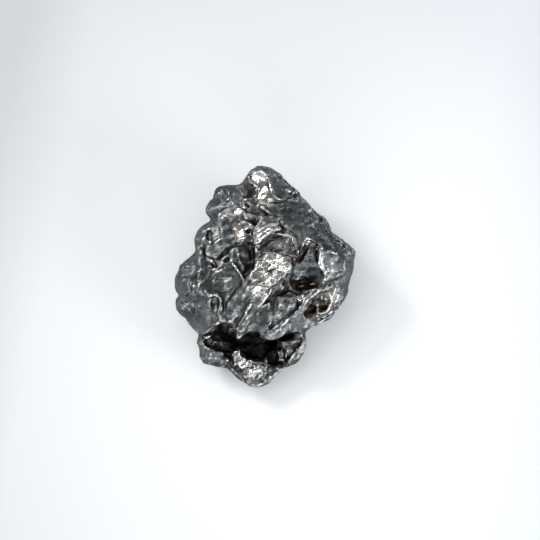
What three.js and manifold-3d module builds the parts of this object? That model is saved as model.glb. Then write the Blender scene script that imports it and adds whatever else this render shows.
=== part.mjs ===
// A small cleaned iron meteorite: one solid nugget of iron, all thumb-print hollows, ledges, folds and lips,
// with a dark overhung hollow at its front and a small flat spot underneath on which it rests.
// Millimetres, +Z up, flat spot at z = 0, origin at the middle of the footprint box.
import * as THREE from "three";
import Module from "manifold-3d";

// Driving dimensions
const TILT_DEG = 75; // the worked face looks up, leaning this far from the upright towards the front
const TOP_HEIGHT = 4.2; // height of the plain face over the widest ring
const TOP_SHOULDER = 6.0; // how far in from the outline the top shoulder runs
const FLANK_SHOULDER = 13.0; // how far in from the outline the underside rounds off
const FLAT_LEVEL = -9.0; // level of the flat resting spot before the stone is set on z = 0
const BELLY = 0.95; // how far the rounded underside would bulge below the flat spot
const ROUNDNESS = 2.2; // fullness of the top's rounding, 2 is a circle
const UNDER_ROUNDNESS = 1.9; // fullness of the underside's rounding
const SOFTEST = 0.4; // least width of a blend that the facets can carry
const PLATE_THICKNESS = 2.6; // how deep a plate reaches into the stone
const FACET_STEP = 0.85; // spacing of the facets
const EASE = 0.35; // how far the facets' corners are evened out
const BOWL_LARGE = 5.2; // width of the large thumb-print hollows on the flanks
const BOWL_MEDIUM = 2.3; // width of the medium hollows

// The face is laid out in its own frame: u to the right, v up the face, w out of it, in millimetres.
// Outline of the stone seen square on to the face
const OUTLINE = [
  [-1.0, 16.5], [-2.3, 15.9], [-2.9, 15.0], [-3.9, 14.2], [-5.2, 14.0], [-6.6, 13.6], [-7.4, 12.7],
  [-7.8, 11.8], [-8.7, 11.0], [-8.9, 10.0], [-8.3, 8.9], [-9.4, 7.8], [-10.4, 6.6], [-10.9, 5.5],
  [-10.5, 4.4], [-11.9, 2.9], [-13.1, 1.2], [-13.6, -0.8], [-13.3, -2.8], [-13.6, -4.1], [-13.1, -5.3],
  [-12.1, -6.3], [-11.0, -7.6], [-10.1, -8.6], [-10.3, -9.7], [-9.8, -11.2], [-8.9, -12.6], [-7.8, -13.5],
  [-6.6, -13.5], [-5.6, -14.1], [-4.5, -15.2], [-3.0, -16.0], [-1.5, -16.5], [-0.1, -16.0], [1.2, -14.9],
  [2.6, -13.9], [4.4, -13.0], [5.5, -11.9], [6.2, -10.3], [6.1, -9.0], [5.9, -8.2], [7.2, -7.1],
  [9.4, -6.4], [10.4, -5.3], [11.3, -3.9], [12.0, -2.3], [12.4, -0.6], [13.0, 0.9], [13.3, 2.6],
  [13.5, 4.1], [12.4, 5.2], [10.8, 6.2], [9.7, 7.4], [9.0, 8.8], [7.6, 9.9], [6.4, 11.0],
  [5.4, 12.4], [4.2, 13.5], [3.1, 14.6], [1.7, 15.7], [0.3, 16.1],
];

// Each form adds to the stone (lump, block, ridge, plate) or is taken from it (pit, notch, groove, hollow).
// at: centre, size: half sizes, k: width of the blend; onFace: w is measured from the face as it is by then.
// A line holds points [u, v, w, radius]; a plate or hollow has an edge and a sloping face through at.
const lump = (at, size, k = 0.5, more = {}) => ({ form: "lump", at, size, k, ...more });
const pit = (at, size, k = 0.3, more = {}) => ({ form: "pit", at, size, k, onFace: true, ...more });
const scoop = (at, size, more = {}) => pit(at, size, 0.7, { onFace: false, ...more });
const block = (at, size, k = 0.2, more = {}) => ({ form: "block", at, size, k, ...more });
const notch = (at, size, k = 1, more = {}) => ({ form: "notch", at, size, k, ...more });
const ridge = (line, k = 0.3) => ({ form: "ridge", line, k, onFace: true });
const groove = (line, k = 0.4) => ({ form: "groove", line, k, onFace: true });
const plate = (edge, at, slope, soft = 0.5, k = 0.35) => ({ form: "plate", edge, at, slope, soft, k });
const hollow = (edge, at, slope, soft = 0.5, k = 0.35) => ({ form: "hollow", edge, at, slope, soft, k });

const MASSES = [
  lump([1.2, 2.2, 1.8], [8.2, 7.8, 5.2], 2.0),
  lump([-0.6, -4.2, 1.6], [6.6, 5.2, 3.9], 1.5),
  lump([-0.5, 13.2, 1.3], [2.9, 3.7, 4.0], 1.0),
  lump([-5.9, 12.1, 0.6], [1.8, 1.8, 2.6]),
  lump([-7.3, 10.2, 0.2], [1.6, 1.7, 2.4]),
  lump([-8.7, 5.8, 0.4], [1.9, 2.7, 3.0], 0.6, { turn: -35 }),
  lump([-11.1, 0, -0.4], [2.5, 3.3, 3.4], 0.6, { turn: -10 }),
  lump([-11.9, -4.3, -1.2], [1.8, 1.8, 2.2]),
  notch([-2.0, -16.4, 5.4], [14, 6.0, 5.2], 1.0, { lean: -8, round: 1.0 }),
];

// Scoops out of the flanks and the underside
const FLANKS = [
  scoop([15.0, -0.6, -3.6], [4.6, 5.0, 3.0], { turn: 12 }),
  scoop([10.4, -9.4, -3.2], [4.4, 4.0, 3.0], { turn: 30 }),
  scoop([-15.4, -1.4, -4.8], [4.6, 4.4, 2.6], { lean: 15 }),
  scoop([-13.2, 7.6, -4.2], [4.4, 4.4, 3.0], { turn: -30 }),
  scoop([-13.6, -9.4, -4.4], [4.0, 3.4, 2.4], { turn: 20 }),
  scoop([-3.6, 19.0, -3.6], [5.4, 4.8, 3.0], { turn: 8 }),
  scoop([-9.6, 15.6, -6.6], [5.0, 4.8, 3.6]),
  scoop([7.6, 16.6, -3.4], [5.4, 4.8, 2.8], { turn: -25 }),
  scoop([2.4, 16.8, -9.8], [5.8, 4.8, 3.4]),
  scoop([13.2, 9.4, -6.4], [5.4, 5.0, 3.8], { turn: 25 }),
  scoop([-6.6, 6.6, -12.2], [4.4, 3.8, 2.6], { lean: 15 }),
  scoop([6.2, 6.8, -12.2], [3.8, 4.6, 2.4], { lean: 15 }),
  scoop([8.0, -5.0, -9.0], [3.8, 3.2, 2.3], { lean: 15 }),
  scoop([-7.6, -5.6, -8.8], [3.6, 3.4, 2.2], { lean: 15 }),
  scoop([0.8, -12.0, -7.0], [3.8, 2.6, 1.8], { lean: 15 }),
];

const SHOULDERS = [
  // smooth lower left flank
  plate([[-12.2, -5.5], [-11, -3], [-9.6, -1.5], [-8.6, -2.5], [-7.2, -3.2], [-6.6, -6.6], [-8.6, -7.7], [-10.2, -8.1]],
    [-9.4, -4.8, 2.6], [0.42, 0.3], 1.2, 0.6),
  // broad smooth shoulder on the upper right
  plate([[0.2, 10.9], [2.2, 11.4], [4, 12.1], [5.6, 11.7], [6.8, 10.3], [7.4, 8.8], [8.1, 6.9], [9.8, 4.9],
    [10.8, 3.6], [9.8, 3.3], [8.3, 4.2], [7.4, 5], [6.2, 5.5], [5.4, 4.4], [4.9, 4.5], [4.5, 6],
    [3.6, 6.9], [2.6, 7.3], [2.1, 8.5], [1.2, 9.1], [0, 9.4], [-1, 10.2]],
    [4.5, 8.2, 5.6], [-0.2, -0.24], 1.0, 0.3),
];

const PEAK = [
  plate([[0.3, 14.4], [1.4, 15.5], [3, 14.3], [4.7, 13], [4, 12.2], [2.1, 11.6], [1, 12.2]],
    [2.2, 13.4, 4.8], [-0.42, -0.24]),
  plate([[-5.2, 13.6], [-3.6, 13.9], [-2.6, 15.2], [-2, 14.5], [-2.6, 12.2], [-3.6, 11.9], [-4.4, 12.6]],
    [-3.2, 13.4, 3.2], [0.75, 0.1], 0.6, 0.5),
  plate([[-3.5, 11.8], [-2.2, 12.2], [-0.6, 11.3], [0.8, 10.8], [0.8, 9.0], [-1.2, 8.8], [-2.9, 9.2]],
    [-1.5, 10.5, 4.9], [0.3, 0.1], 0.9, 0.5),
  // the scoop that catches the light, and the steep side left of it
  hollow([[-2.2, 15.4], [-0.6, 15.7], [0.2, 14.8], [0.7, 12.9], [1.4, 11.5], [0, 10.6], [-1.5, 11.1],
    [-1.7, 12.6], [-1.2, 13.6], [-2.3, 14.3]],
    [-0.8, 12.8, 4.5], [0.34, -0.2], 0.8, 0.4),
  pit([-2.4, 12.8, 0.1], [0.9, 1.2, 0.6], 0.4, { turn: 20 }),
  groove([[-2, 14.4, 0, 0.15], [-1.1, 13.7, 0, 0.2], [-0.8, 13.1, 0.1, 0.15]], 0.3),
  ridge([[0.7, 14, -0.1, 0.15], [1.2, 12.9, 0, 0.15], [1.8, 11.8, -0.1, 0.15]]),
  ridge([[0.2, 13, 0, 0.15], [1.2, 11.4, 0, 0.2]]),
  groove([[2.5, 13.6, 0, 0.15], [3.3, 12.9, 0, 0.25], [4, 12.1, 0, 0.15]], 0.3),
  lump([1.5, 11.6, 0.1], [1.3, 0.4, 0.5], 0.3, { onFace: true, turn: 8 }),
  // notches along the ragged rim on the right
  groove([[1.8, 15.2, 0, 0.15], [2.9, 14.4, 0, 0.3], [3.5, 13.8, 0, 0.15]], 0.2),
  groove([[4, 13.4, 0, 0.15], [4.8, 12.7, 0, 0.35], [5.4, 12, 0, 0.15]], 0.2),
  groove([[7.2, 10.1, 0, 0.15], [7.9, 9.2, 0, 0.3], [8.3, 8.3, 0, 0.15]], 0.2),
  groove([[8.9, 7.9, 0, 0.15], [9.5, 7.2, 0, 0.3], [10.2, 6.6, 0, 0.15]], 0.2),
  groove([[10.6, 5.8, 0, 0.15], [11.4, 5.1, 0, 0.3], [12, 4.3, 0, 0.15]], 0.2),
];

const LEFT_BLOCK = [
  plate([[-6.9, 9.4], [-6.2, 10.2], [-4.6, 10.4], [-3.4, 10.2], [-2.6, 9.2], [-3, 8.3], [-3.9, 8], [-4.5, 6.6],
    [-4.9, 5.3], [-6.4, 3.7], [-7.7, 2.8], [-8.7, 3.2], [-8.5, 4.5], [-7.2, 5.6], [-6.5, 6.4], [-6.8, 7.8]],
    [-5.6, 7.2, 5.0], [-0.1, 0.16], 0.6),
  pit([-4.6, 10, 0.4], [1.5, 1.1, 0.8], 0.3, { turn: -20, lean: 20 }),
  plate([[-4.6, 7], [-4.2, 8.2], [-2.9, 8.4], [-1.7, 7.9], [-1.8, 6.6], [-3.1, 5.4], [-4.3, 5.3]],
    [-3.3, 7, 5.5], [0.42, -0.15], 0.4, 0.2),
  pit([-2.8, 7.1, 0.2], [0.6, 0.3, 0.4], 0.2, { turn: 25 }),
  plate([[-2.8, 9.5], [-0.4, 9.3], [-1.1, 8], [-1.8, 7.6], [-2.8, 8.2]], [-1.5, 8.9, 5.1], [-0.15, 0.25], 0.3, 0.2),
  plate([[-2.2, 5.9], [-1.7, 7.6], [-0.1, 9.1], [1.8, 8.9], [2.2, 8], [2.1, 7.1], [0.5, 7], [-0.9, 6]],
    [0.2, 8, 6.2], [0.05, -0.35], 0.5, 0.2),
];

const MIDDLE = [
  // rough crown of the face
  plate([[-1.6, 1], [-0.4, 3.6], [0.5, 4.4], [2.7, 3.8], [3.9, 2.6], [3.5, 0.8], [1.6, -0.5], [-1, -1]],
    [1.1, 1.8, 7.0], [0.26, -0.16], 1.2, 0.6),
  // valley left of the crown, and the shallow basin beyond it
  hollow([[-5, 4.4], [-2.1, 5.4], [-1.7, 3], [-1.9, 0.9], [-3, -0.4], [-3.9, 0], [-4.9, 1.8]],
    [-3.1, 2.5, 4.8], [-0.2, 0.05], 1.3, 0.7),
  hollow([[-9, 2.4], [-8.2, 2.8], [-6.8, 2], [-5.2, 2], [-4, -0.2], [-4, -1.7], [-5.2, -2.8], [-6.6, -3],
    [-7.6, -2.4], [-8.7, -1.9], [-9.1, -0.5]],
    [-6.5, 0, 4.25], [0.1, -0.05], 2.4, 1.1),
  ridge([[-4.9, 2.2, 0.1, 0.25], [-4.2, 0.6, 0.1, 0.2], [-3.4, -0.6, 0.1, 0.2]]),
  groove([[-2.2, 5.1, 0, 0.2], [-2.1, 2.8, 0, 0.2], [-2.3, 0.6, 0.1, 0.25]], 0.4),
  ridge([[-4.1, 4.2, 0, 0.2], [-3.8, 2.4, 0, 0.2], [-3.5, 0.9, 0, 0.2]], 0.4),
  lump([-5.2, -1, -0.1], [1.0, 0.8, 0.35], 0.6, { onFace: true, turn: 20 }),
];

const FOLDS = [
  plate([[-2.2, 0.9], [-1.1, -0.2], [-2.6, -3], [-4.2, -5.7], [-5, -6.8], [-6.3, -6.5], [-6.2, -4.8], [-4.8, -2.4]],
    [-3.6, -2.8, 5.9], [0.16, 0.2], 1.6, 0.7),
  plate([[0.7, -1.4], [-0.9, -1.5], [-2.4, -3.6], [-3.6, -5.7], [-4.4, -7.7], [-3, -7.9], [-1.5, -4.9], [0.2, -3.1]],
    [-1.6, -4, 6.0], [0.38, -0.06], 0.6, 0.3),
  plate([[1.2, -3.4], [-0.6, -4.1], [-2, -5.8], [-2.9, -8], [-1.2, -7.9], [-0.2, -8.4], [0.7, -6.2]],
    [-0.7, -6.2, 5.5], [0.2, 0.22], 0.6, 0.3),
  lump([2.5, -4.4, 3.4], [3.5, 1.7, 2.9], 0.4, { turn: 45 }),
  // rope-like fold running down to a knob over the front hollow
  ridge([[9.8, -1.2, 0, 0.5], [7.4, -2, 0.1, 0.6], [5.9, -3.2, 0.2, 0.6], [4.8, -4.7, 0.2, 0.6],
    [3.1, -6, 0.2, 0.7], [1.9, -7.2, 0.2, 0.8], [0.8, -8.1, 0.1, 1.0]], 0.5),
  groove([[5, -3.3, 0, 0.12], [4, -4.9, 0, 0.12], [2, -6.2, 0, 0.1], [0.5, -7.2, 0, 0.1]]),
];

const RIGHT_SIDE = [
  hollow([[5.4, 4], [6.4, 4.9], [7.6, 4.4], [8.1, 3.4], [8.2, 2.2], [8.8, 0.6], [8.2, -0.6], [6.6, -1.6],
    [4.4, -1.5], [3.4, -0.4], [4, 1.2], [5, 2.6]],
    [6.6, 1.4, 4.8], [-0.12, 0.36], 0.6, 0.3),
  pit([5.6, -0.8, 0.1], [2.3, 0.9, 0.9], 0.6, { turn: 12 }),
  pit([3.9, -1.2, 0], [1.2, 0.6, 0.7], 0.5, { turn: -15 }),
  groove([[6.1, 4.7, 0, 0.3], [5.3, 3.6, 0, 0.45], [4.3, 2.2, 0, 0.35]], 0.3),
  lump([5.3, -1.1, 0], [0.6, 0.4, 0.35], 0.3, { onFace: true, turn: 30 }),
  lump([6.7, -0.9, 0], [0.5, 0.4, 0.3], 0.3, { onFace: true }),
  plate([[7.9, 4], [8.2, 2.2], [8.8, 0.6], [8.6, -0.5], [10.4, -0.4], [11.6, 0.6], [11.8, 2], [11.1, 3.2],
    [9.8, 3.7], [8.5, 4.3]],
    [10.3, 1.6, 4.8], [-0.26, 0.14], 1.1, 0.6),
  ridge([[7.6, 4.6, -0.1, 0.2], [8.1, 3.7, 0, 0.25], [8.1, 2.2, 0.1, 0.25], [8.7, 0.5, 0.1, 0.25], [8.4, -0.4, 0, 0.2]]),
  hollow([[5.9, -6], [6.2, -4.2], [7.6, -3.1], [9.4, -2.2], [11.6, -2.3], [11.5, -3.4], [9.8, -4.4], [8.2, -5.2],
    [7, -6.2]],
    [8.4, -4, 3.0], [0.05, 0.3], 1.2, 0.5),
  pit([6.6, -4.9, 0.1], [1.2, 0.7, 0.7], 0.4, { turn: 35 }),
  pit([8.7, -3.8, 0.1], [0.9, 0.6, 0.6], 0.4, { turn: 20 }),
  lump([7.7, -4.4, -0.1], [0.4, 0.7, 0.4], 0.3, { onFace: true }),
  ridge([[5.9, -6.9, -0.2, 0.5], [7.2, -6.8, -0.2, 0.5], [8.5, -5.8, -0.2, 0.5], [10.2, -5.1, -0.2, 0.5]], 0.5),
  groove([[6.9, -6.7, 0, 0.15], [8, -6.3, 0, 0.25], [9.6, -5.6, 0, 0.2]], 0.2),
];

const CREST = [
  hollow([[-1.2, 4.2], [-0.2, 5.6], [1.4, 6.4], [3.2, 6.2], [4.3, 5.2], [4.6, 3.8], [2.8, 3.4], [0.6, 3.9]],
    [2, 5, 6.1], [0.02, -0.35], 0.6, 0.3),
  ridge([[-1.8, 4.8, 0, 0.5], [-0.8, 6.1, 0.2, 0.65], [0.5, 7.1, 0.2, 0.6], [2, 7.4, 0, 0.3]], 0.25),
  plate([[-1.8, 4.9], [-1.4, 6.1], [-0.3, 7.1], [1, 7.7], [1.1, 7], [0.2, 6.3], [-0.8, 5.2]],
    [-0.3, 6.5, 7.3], [0.36, -0.24], 0.3, 0.2),
  ridge([[1.6, 6.5, 0.1, 0.25], [3.3, 6.2, 0.2, 0.2], [4.1, 5.2, 0.25, 0.2], [4.7, 4.1, 0.2, 0.2]]),
];

const CREVICES = [
  groove([[-1.4, -1, 0, 0.15], [-2.9, -3.4, 0, 0.2], [-3.9, -5.4, 0, 0.18], [-4.7, -6.8, 0, 0.2]], 0.3),
  groove([[-1.5, -4.4, 0, 0.2], [-2.9, -7.2, 0, 0.3]]),
  groove([[0.9, -4.4, 0, 0.3], [1.5, -2.9, 0, 0.4], [3.2, -1.7, -0.2, 0.5], [5, -2, 0, 0.4]]),
  groove([[2.6, -0.9, 0, 0.35], [3.9, 0.8, -0.2, 0.45], [4.9, 2.7, -0.2, 0.45], [6, 4.2, 0, 0.25]]),
  groove([[-0.5, 9.1, 0, 0.1], [-1.6, 7.9, 0, 0.15], [-2.1, 6.2, -0.1, 0.3], [-4.2, 5.1, -0.2, 0.35],
    [-5.6, 4.3, -0.1, 0.25], [-7.2, 2.9, 0, 0.15]]),
  pit([-5.9, 2.8, 0.1], [0.6, 0.35, 0.5], 0.2, { turn: 30 }),
  groove([[-8.6, 7, 0, 0.35], [-8.4, 5.9, 0, 0.5], [-7.8, 4.9, 0, 0.35]]),
  groove([[-3.5, 11.9, 0, 0.1], [-2.6, 10.6, 0, 0.2], [-2.1, 9.7, 0, 0.25], [-0.6, 9.2, 0, 0.12]], 0.2),
  groove([[-10.1, 2.4, 0, 0.3], [-10.5, 0.5, 0, 0.35], [-10.9, -1.8, 0, 0.35]], 0.6),
  groove([[-6.3, 13.2, 0, 0.2], [-6.1, 12.3, 0, 0.4], [-6.4, 11.6, 0, 0.3]], 0.3),
  ridge([[-9.5, 4.6, -0.3, 0.6], [-9.8, 3, -0.3, 0.7], [-9.8, 1, -0.35, 0.7], [-9.5, -1.5, -0.4, 0.6]], 0.8),
  ridge([[-8.9, -1.8, -0.05, 0.3], [-8.3, -2.5, 0, 0.35], [-7.4, -2.5, 0.1, 0.35], [-6.8, -3.2, 0.1, 0.35],
    [-6.8, -5, 0.1, 0.35], [-6.3, -6.4, 0, 0.35]], 0.4),
  pit([-7.6, -3.9, 0.15], [0.75, 1.2, 0.8], 0.4, { turn: 5 }),
  pit([-11.3, -4.7, 0.1], [0.7, 0.6, 0.6]),
  pit([-7.8, 2.0, 0.05], [0.8, 0.4, 0.45], 0.25, { turn: -32 }),
];

const FRONT = [
  // lower rim
  lump([-8, -11.0, -1.4], [2.2, 2.3, 2.5], 0.6),
  lump([-6.7, -12.2, -1.6], [1.7, 1.3, 2.2], 0.5, { turn: -30 }),
  lump([-1.8, -14, -1.4], [2.2, 2.3, 2.8], 0.4),
  lump([4.4, -11.1, -1.5], [1.0, 2.4, 2.7], 0.6, { turn: -35 }),
  // the overhung hollow
  hollow([[-9.4, -8.5], [-7.4, -7.1], [-6, -6.5], [-5, -6.8], [-4.5, -8], [-4.2, -8.9], [-3.2, -8.2], [-1.3, -7.9],
    [-0.5, -8.7], [0.5, -9.1], [1.6, -9.1], [1.1, -10.3], [0.1, -11.4], [-0.6, -12.1], [-2.8, -11.9],
    [-4.2, -11], [-5.4, -11.3], [-6.7, -11.1], [-8.9, -9.9]],
    [-1, -9, -3.4], [-0.4, -0.2], 1.2, 0.3),
  hollow([[0.2, -9.4], [2, -8.9], [3.4, -8.1], [4.9, -7.9], [5.6, -8.8], [5.4, -9.8], [4.2, -11.2], [2.6, -12.8],
    [1.4, -13.1], [0.2, -12.2]],
    [3, -10.4, -0.1], [0.5, 0.2], 1.0, 0.5),
  pit([-2.4, -7.6, -1.2], [4.4, 3.0, 2.4], 0.8, { onFace: false, turn: -8, lean: 15 }),
  pit([-6.4, -7.2, 0.8], [1.8, 1.9, 2.0], 0.8, { onFace: false, turn: 20 }),
  pit([-0.6, -8.0, 0.2], [2.4, 2.2, 2.6], 0.8, { onFace: false, turn: -20, dip: 20 }),
  pit([2.4, -8.4, 0.2], [1.9, 0.8, 1.0], 0.6, { onFace: false, turn: 20 }),
  // broken bits standing on the rim and in the left chamber
  lump([-8.7, -8.7, 0.3], [0.8, 0.6, 0.9], 0.2, { turn: 30 }),
  block([-4.5, -11.6, -0.8], [0.8, 1, 1.5], 0.2, { turn: 20, lean: 15, round: 0.25 }),
  block([-3.5, -12.8, -0.7], [0.7, 0.65, 1.4], 0.2, { turn: 30, round: 0.2 }),
  groove([[-5.8, -13.2, 0, 0.2], [-4.9, -14.3, 0, 0.3], [-3.9, -15.2, 0, 0.2]], 0.3),
  lump([0.7, -14.2, -1.8], [1.1, 1, 1.6], 0.2),
  block([2.1, -11.8, -1.4], [0.5, 1.1, 1.5], 0.3, { turn: 10, lean: -10, round: 0.3 }),
];

const FORMS = [...MASSES, ...FLANKS, ...SHOULDERS, ...PEAK, ...LEFT_BLOCK, ...MIDDLE, ...FOLDS, ...RIGHT_SIDE, ...CREST,
  ...CREVICES, ...FRONT];

// Places on the face that are rougher than the rest: [u, v, radius, strength]
const ROUGH_PLACES = [
  [1.5, 1.2, 2.2, 0.9], [-1.5, -13.5, 2.1, 0.9], [7.9, 9.2, 1.1, 1.2], [4.6, 12.9, 1.0, 1.2],
  [2.5, 15.1, 0.9, 1.2], [9.7, 7.2, 1.1, 1.2], [11.4, 5.3, 1.1, 1.2], [9.0, -3.8, 1.9, 1.0],
  [2.0, 4.9, 1.3, 0.7], [-7.5, 1.0, 1.3, 0.6], [-6.3, 12.4, 1.2, 0.8], [5.4, -1.0, 1.6, 0.8],
  [-11.5, 0.2, 1.5, 0.7], [-6.5, -9.5, 1.8, 0.9], [4.0, -10.5, 1.5, 0.6], [-12.0, -4.6, 1.0, 0.8],
];

const SIN = Math.sin((TILT_DEG * Math.PI) / 180);
const COS = Math.cos((TILT_DEG * Math.PI) / 180);
const clamp = (x, a, b) => Math.min(Math.max(x, a), b);

// Smooth union of two depths, k is the width of the blend
function blend(a, b, k) {
  const h = clamp(0.5 + (0.5 * (b - a)) / k, 0, 1);
  return b + (a - b) * h - k * h * (1 - h);
}
const carve = (a, b, k) => -blend(-a, b, k);

// A closed curve through the points
function closedCurve(points, steps = 6) {
  const curve = new THREE.CatmullRomCurve3(
    points.map(([x, y]) => new THREE.Vector3(x, y, 0)), true, "catmullrom", 0.5);
  const out = [];
  for (let i = 0; i < points.length * steps; i++) {
    const p = curve.getPoint(i / (points.length * steps));
    out.push([p.x, p.y]);
  }
  return out;
}

// Distance from (u, v) to a closed curve, positive inside it
function insideDepth(u, v, curve) {
  let best = Infinity;
  let inside = false;
  for (let i = 0, j = curve.length - 1; i < curve.length; j = i++) {
    const [ax, ay] = curve[j];
    const [bx, by] = curve[i];
    const dx = bx - ax;
    const dy = by - ay;
    const t = clamp(((u - ax) * dx + (v - ay) * dy) / (dx * dx + dy * dy + 1e-12), 0, 1);
    best = Math.min(best, (u - ax - t * dx) ** 2 + (v - ay - t * dy) ** 2);
    if (ay > v !== by > v && u < ((bx - ax) * (v - ay)) / (by - ay) + ax) inside = !inside;
  }
  return inside ? Math.sqrt(best) : -Math.sqrt(best);
}

const OUTER = closedCurve(OUTLINE);

// The plain pebble: outline, widest ring, rounded top and underside
function pebble(u, v, w) {
  const depth = insideDepth(u, v, OUTER);
  const ring = -0.3 + 0.09 * v + 0.02 * u + 0.5 * Math.sin(0.45 * u + 1) * Math.cos(0.38 * v);
  const low = ring - (FLAT_LEVEL - BELLY - COS * v) / SIN;
  const up = w > ring;
  const reach = up ? TOP_SHOULDER : FLANK_SHOULDER;
  const high = up ? TOP_HEIGHT - ring : low;
  const q = Math.abs(w - ring) / high;
  const s = Math.max(1 - depth / reach, 0);
  const n = up ? ROUNDNESS : UNDER_ROUNDNESS;
  const k0 = (s ** n + q ** n) ** (1 / n);
  const k1 = Math.hypot(s / reach, q / high) / Math.max(k0, 1e-3) + 1e-6;
  return Math.min((k0 - 1) / k1, 6);
}

// A sum of sine waves in scattered directions, the same everywhere and never regular
function waves(u, v, w, length, seed, octaves = 1) {
  let total = 0;
  let size = 1;
  let l = length;
  for (let o = 0; o < octaves; o++) {
    for (let i = 0; i < 4; i++) {
      const n = seed * 7.31 + o * 4 + i + 1;
      const z = 1 - 2 * ((n * 0.618034) % 1);
      const a = 2.399963 * n;
      const r = Math.sqrt(1 - z * z);
      const along = u * r * Math.cos(a) + v * r * Math.sin(a) + w * z;
      total += size * Math.sin((along * 2 * Math.PI) / l + 1.7 * n);
    }
    l *= 0.53;
    size *= 0.5;
  }
  return total / 4;
}

// Bends the coordinates a little, so that no form is regular
function bend(u, v, w) {
  const out = [u, v, w];
  for (let i = 0; i < 3; i++) {
    out[i] += 0.3 * waves(u, v, w, 4.2, 11 + i) + 0.1 * waves(u, v, w, 1.3, 21 + i, 2);
  }
  return out;
}

// Columns of the turned axes of a form
function axes({ turn = 0, lean = 0, dip = 0 }) {
  const m = new THREE.Matrix4()
    .makeRotationZ(THREE.MathUtils.degToRad(turn))
    .multiply(new THREE.Matrix4().makeRotationY(THREE.MathUtils.degToRad(dip)))
    .multiply(new THREE.Matrix4().makeRotationX(THREE.MathUtils.degToRad(lean)));
  const columns = [new THREE.Vector3(), new THREE.Vector3(), new THREE.Vector3()];
  m.extractBasis(...columns);
  return columns.map((c) => c.toArray());
}

function depthIn(form, p) {
  if (form.line) {
    let best = Infinity;
    for (let i = 1; i < form.line.length; i++) {
      const a = form.line[i - 1];
      const b = form.line[i];
      const ab = [b[0] - a[0], b[1] - a[1], b[2] - a[2]];
      const length = ab[0] ** 2 + ab[1] ** 2 + ab[2] ** 2;
      const along = (p[0] - a[0]) * ab[0] + (p[1] - a[1]) * ab[1] + (p[2] - a[2]) * ab[2];
      const t = clamp(along / length, 0, 1);
      const d = Math.hypot(p[0] - a[0] - t * ab[0], p[1] - a[1] - t * ab[1], p[2] - a[2] - t * ab[2]);
      best = Math.min(best, d - (a[3] + t * (b[3] - a[3])));
    }
    return best;
  }
  if (form.curve) {
    const [su, sv] = form.slope;
    const level = form.at[2] + su * (p[0] - form.at[0]) + sv * (p[1] - form.at[1]);
    const over = (p[2] - level) / Math.sqrt(1 + su * su + sv * sv);
    const out = -insideDepth(p[0], p[1], form.curve);
    if (form.form === "hollow") return carve(out, over, form.soft);
    return Math.max(carve(out, -over, form.soft), -over - PLATE_THICKNESS);
  }
  const d = [p[0] - form.at[0], p[1] - form.at[1], p[2] - form.at[2]];
  const q = form.axes.map((c) => c[0] * d[0] + c[1] * d[1] + c[2] * d[2]);
  if (form.form === "block" || form.form === "notch") {
    const e = q.map((x, i) => Math.abs(x) - (form.size[i] - form.round));
    const out = Math.hypot(Math.max(e[0], 0), Math.max(e[1], 0), Math.max(e[2], 0));
    return out + Math.min(Math.max(e[0], e[1], e[2]), 0) - form.round;
  }
  const k0 = Math.hypot(...q.map((x, i) => x / form.size[i]));
  const k1 = Math.hypot(...q.map((x, i) => x / form.size[i] ** 2)) + 1e-6;
  return (k0 * (k0 - 1)) / k1;
}

// The box that holds a form and its blend
function reachOf(form) {
  const pad = form.k + 1.6;
  let low;
  let high;
  if (form.line) {
    low = [0, 1, 2].map((i) => Math.min(...form.line.map((q) => q[i] - q[3])));
    high = [0, 1, 2].map((i) => Math.max(...form.line.map((q) => q[i] + q[3])));
  } else if (form.curve) {
    low = [Math.min(...form.curve.map((q) => q[0])), Math.min(...form.curve.map((q) => q[1])), -99];
    high = [Math.max(...form.curve.map((q) => q[0])), Math.max(...form.curve.map((q) => q[1])), 99];
  } else {
    const r = form.round ? Math.hypot(...form.size) : Math.max(...form.size);
    low = form.at.map((x) => x - r);
    high = form.at.map((x) => x + r);
  }
  return [low.map((x) => x - pad), high.map((x) => x + pad)];
}

const ADDS = new Set(["lump", "block", "ridge", "plate"]);
const placed = [];

// Depth of a point in the stone made so far, negative inside it
function stone(u, v, w) {
  let f = pebble(u, v, w);
  const p = bend(u, v, w);
  for (const form of placed) {
    const [low, high] = form.reach;
    if (p.some((x, i) => x < low[i] || x > high[i])) continue;
    const g = depthIn(form, p);
    f = ADDS.has(form.form) ? blend(f, g, form.k) : carve(f, g, form.k);
  }
  return f;
}

// Height of the face over (u, v) in the stone made so far
function faceAt(u, v) {
  let w = 10.5;
  while (w > -9 && stone(u, v, w) > 0) w -= 0.2;
  let a = w;
  let b = w + 0.2;
  for (let i = 0; i < 12; i++) {
    const m = (a + b) / 2;
    if (stone(u, v, m) > 0) b = m;
    else a = m;
  }
  return a;
}

for (const form of FORMS) {
  const made = { round: 0.4, ...form, k: Math.max(form.k, SOFTEST), soft: Math.max(form.soft ?? 0, SOFTEST) };
  if (form.onFace && form.at) made.at = [form.at[0], form.at[1], faceAt(form.at[0], form.at[1]) + form.at[2]];
  if (form.onFace && form.line) made.line = form.line.map(([u, v, w, r]) => [u, v, faceAt(u, v) + w, r]);
  if (form.edge) made.curve = closedCurve(form.edge);
  if (form.size) made.axes = axes(form);
  if (form.form === "lump" || form.form === "pit") made.round = 0;
  made.reach = reachOf(made);
  placed.push(made);
}

// Scattered numbers from 0 to 1
function scatter(i, j, k, n) {
  const x = Math.sin(i * 12.9898 + j * 78.233 + k * 37.719 + n * 4.1414) * 43758.5453;
  return x - Math.floor(x);
}

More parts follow.
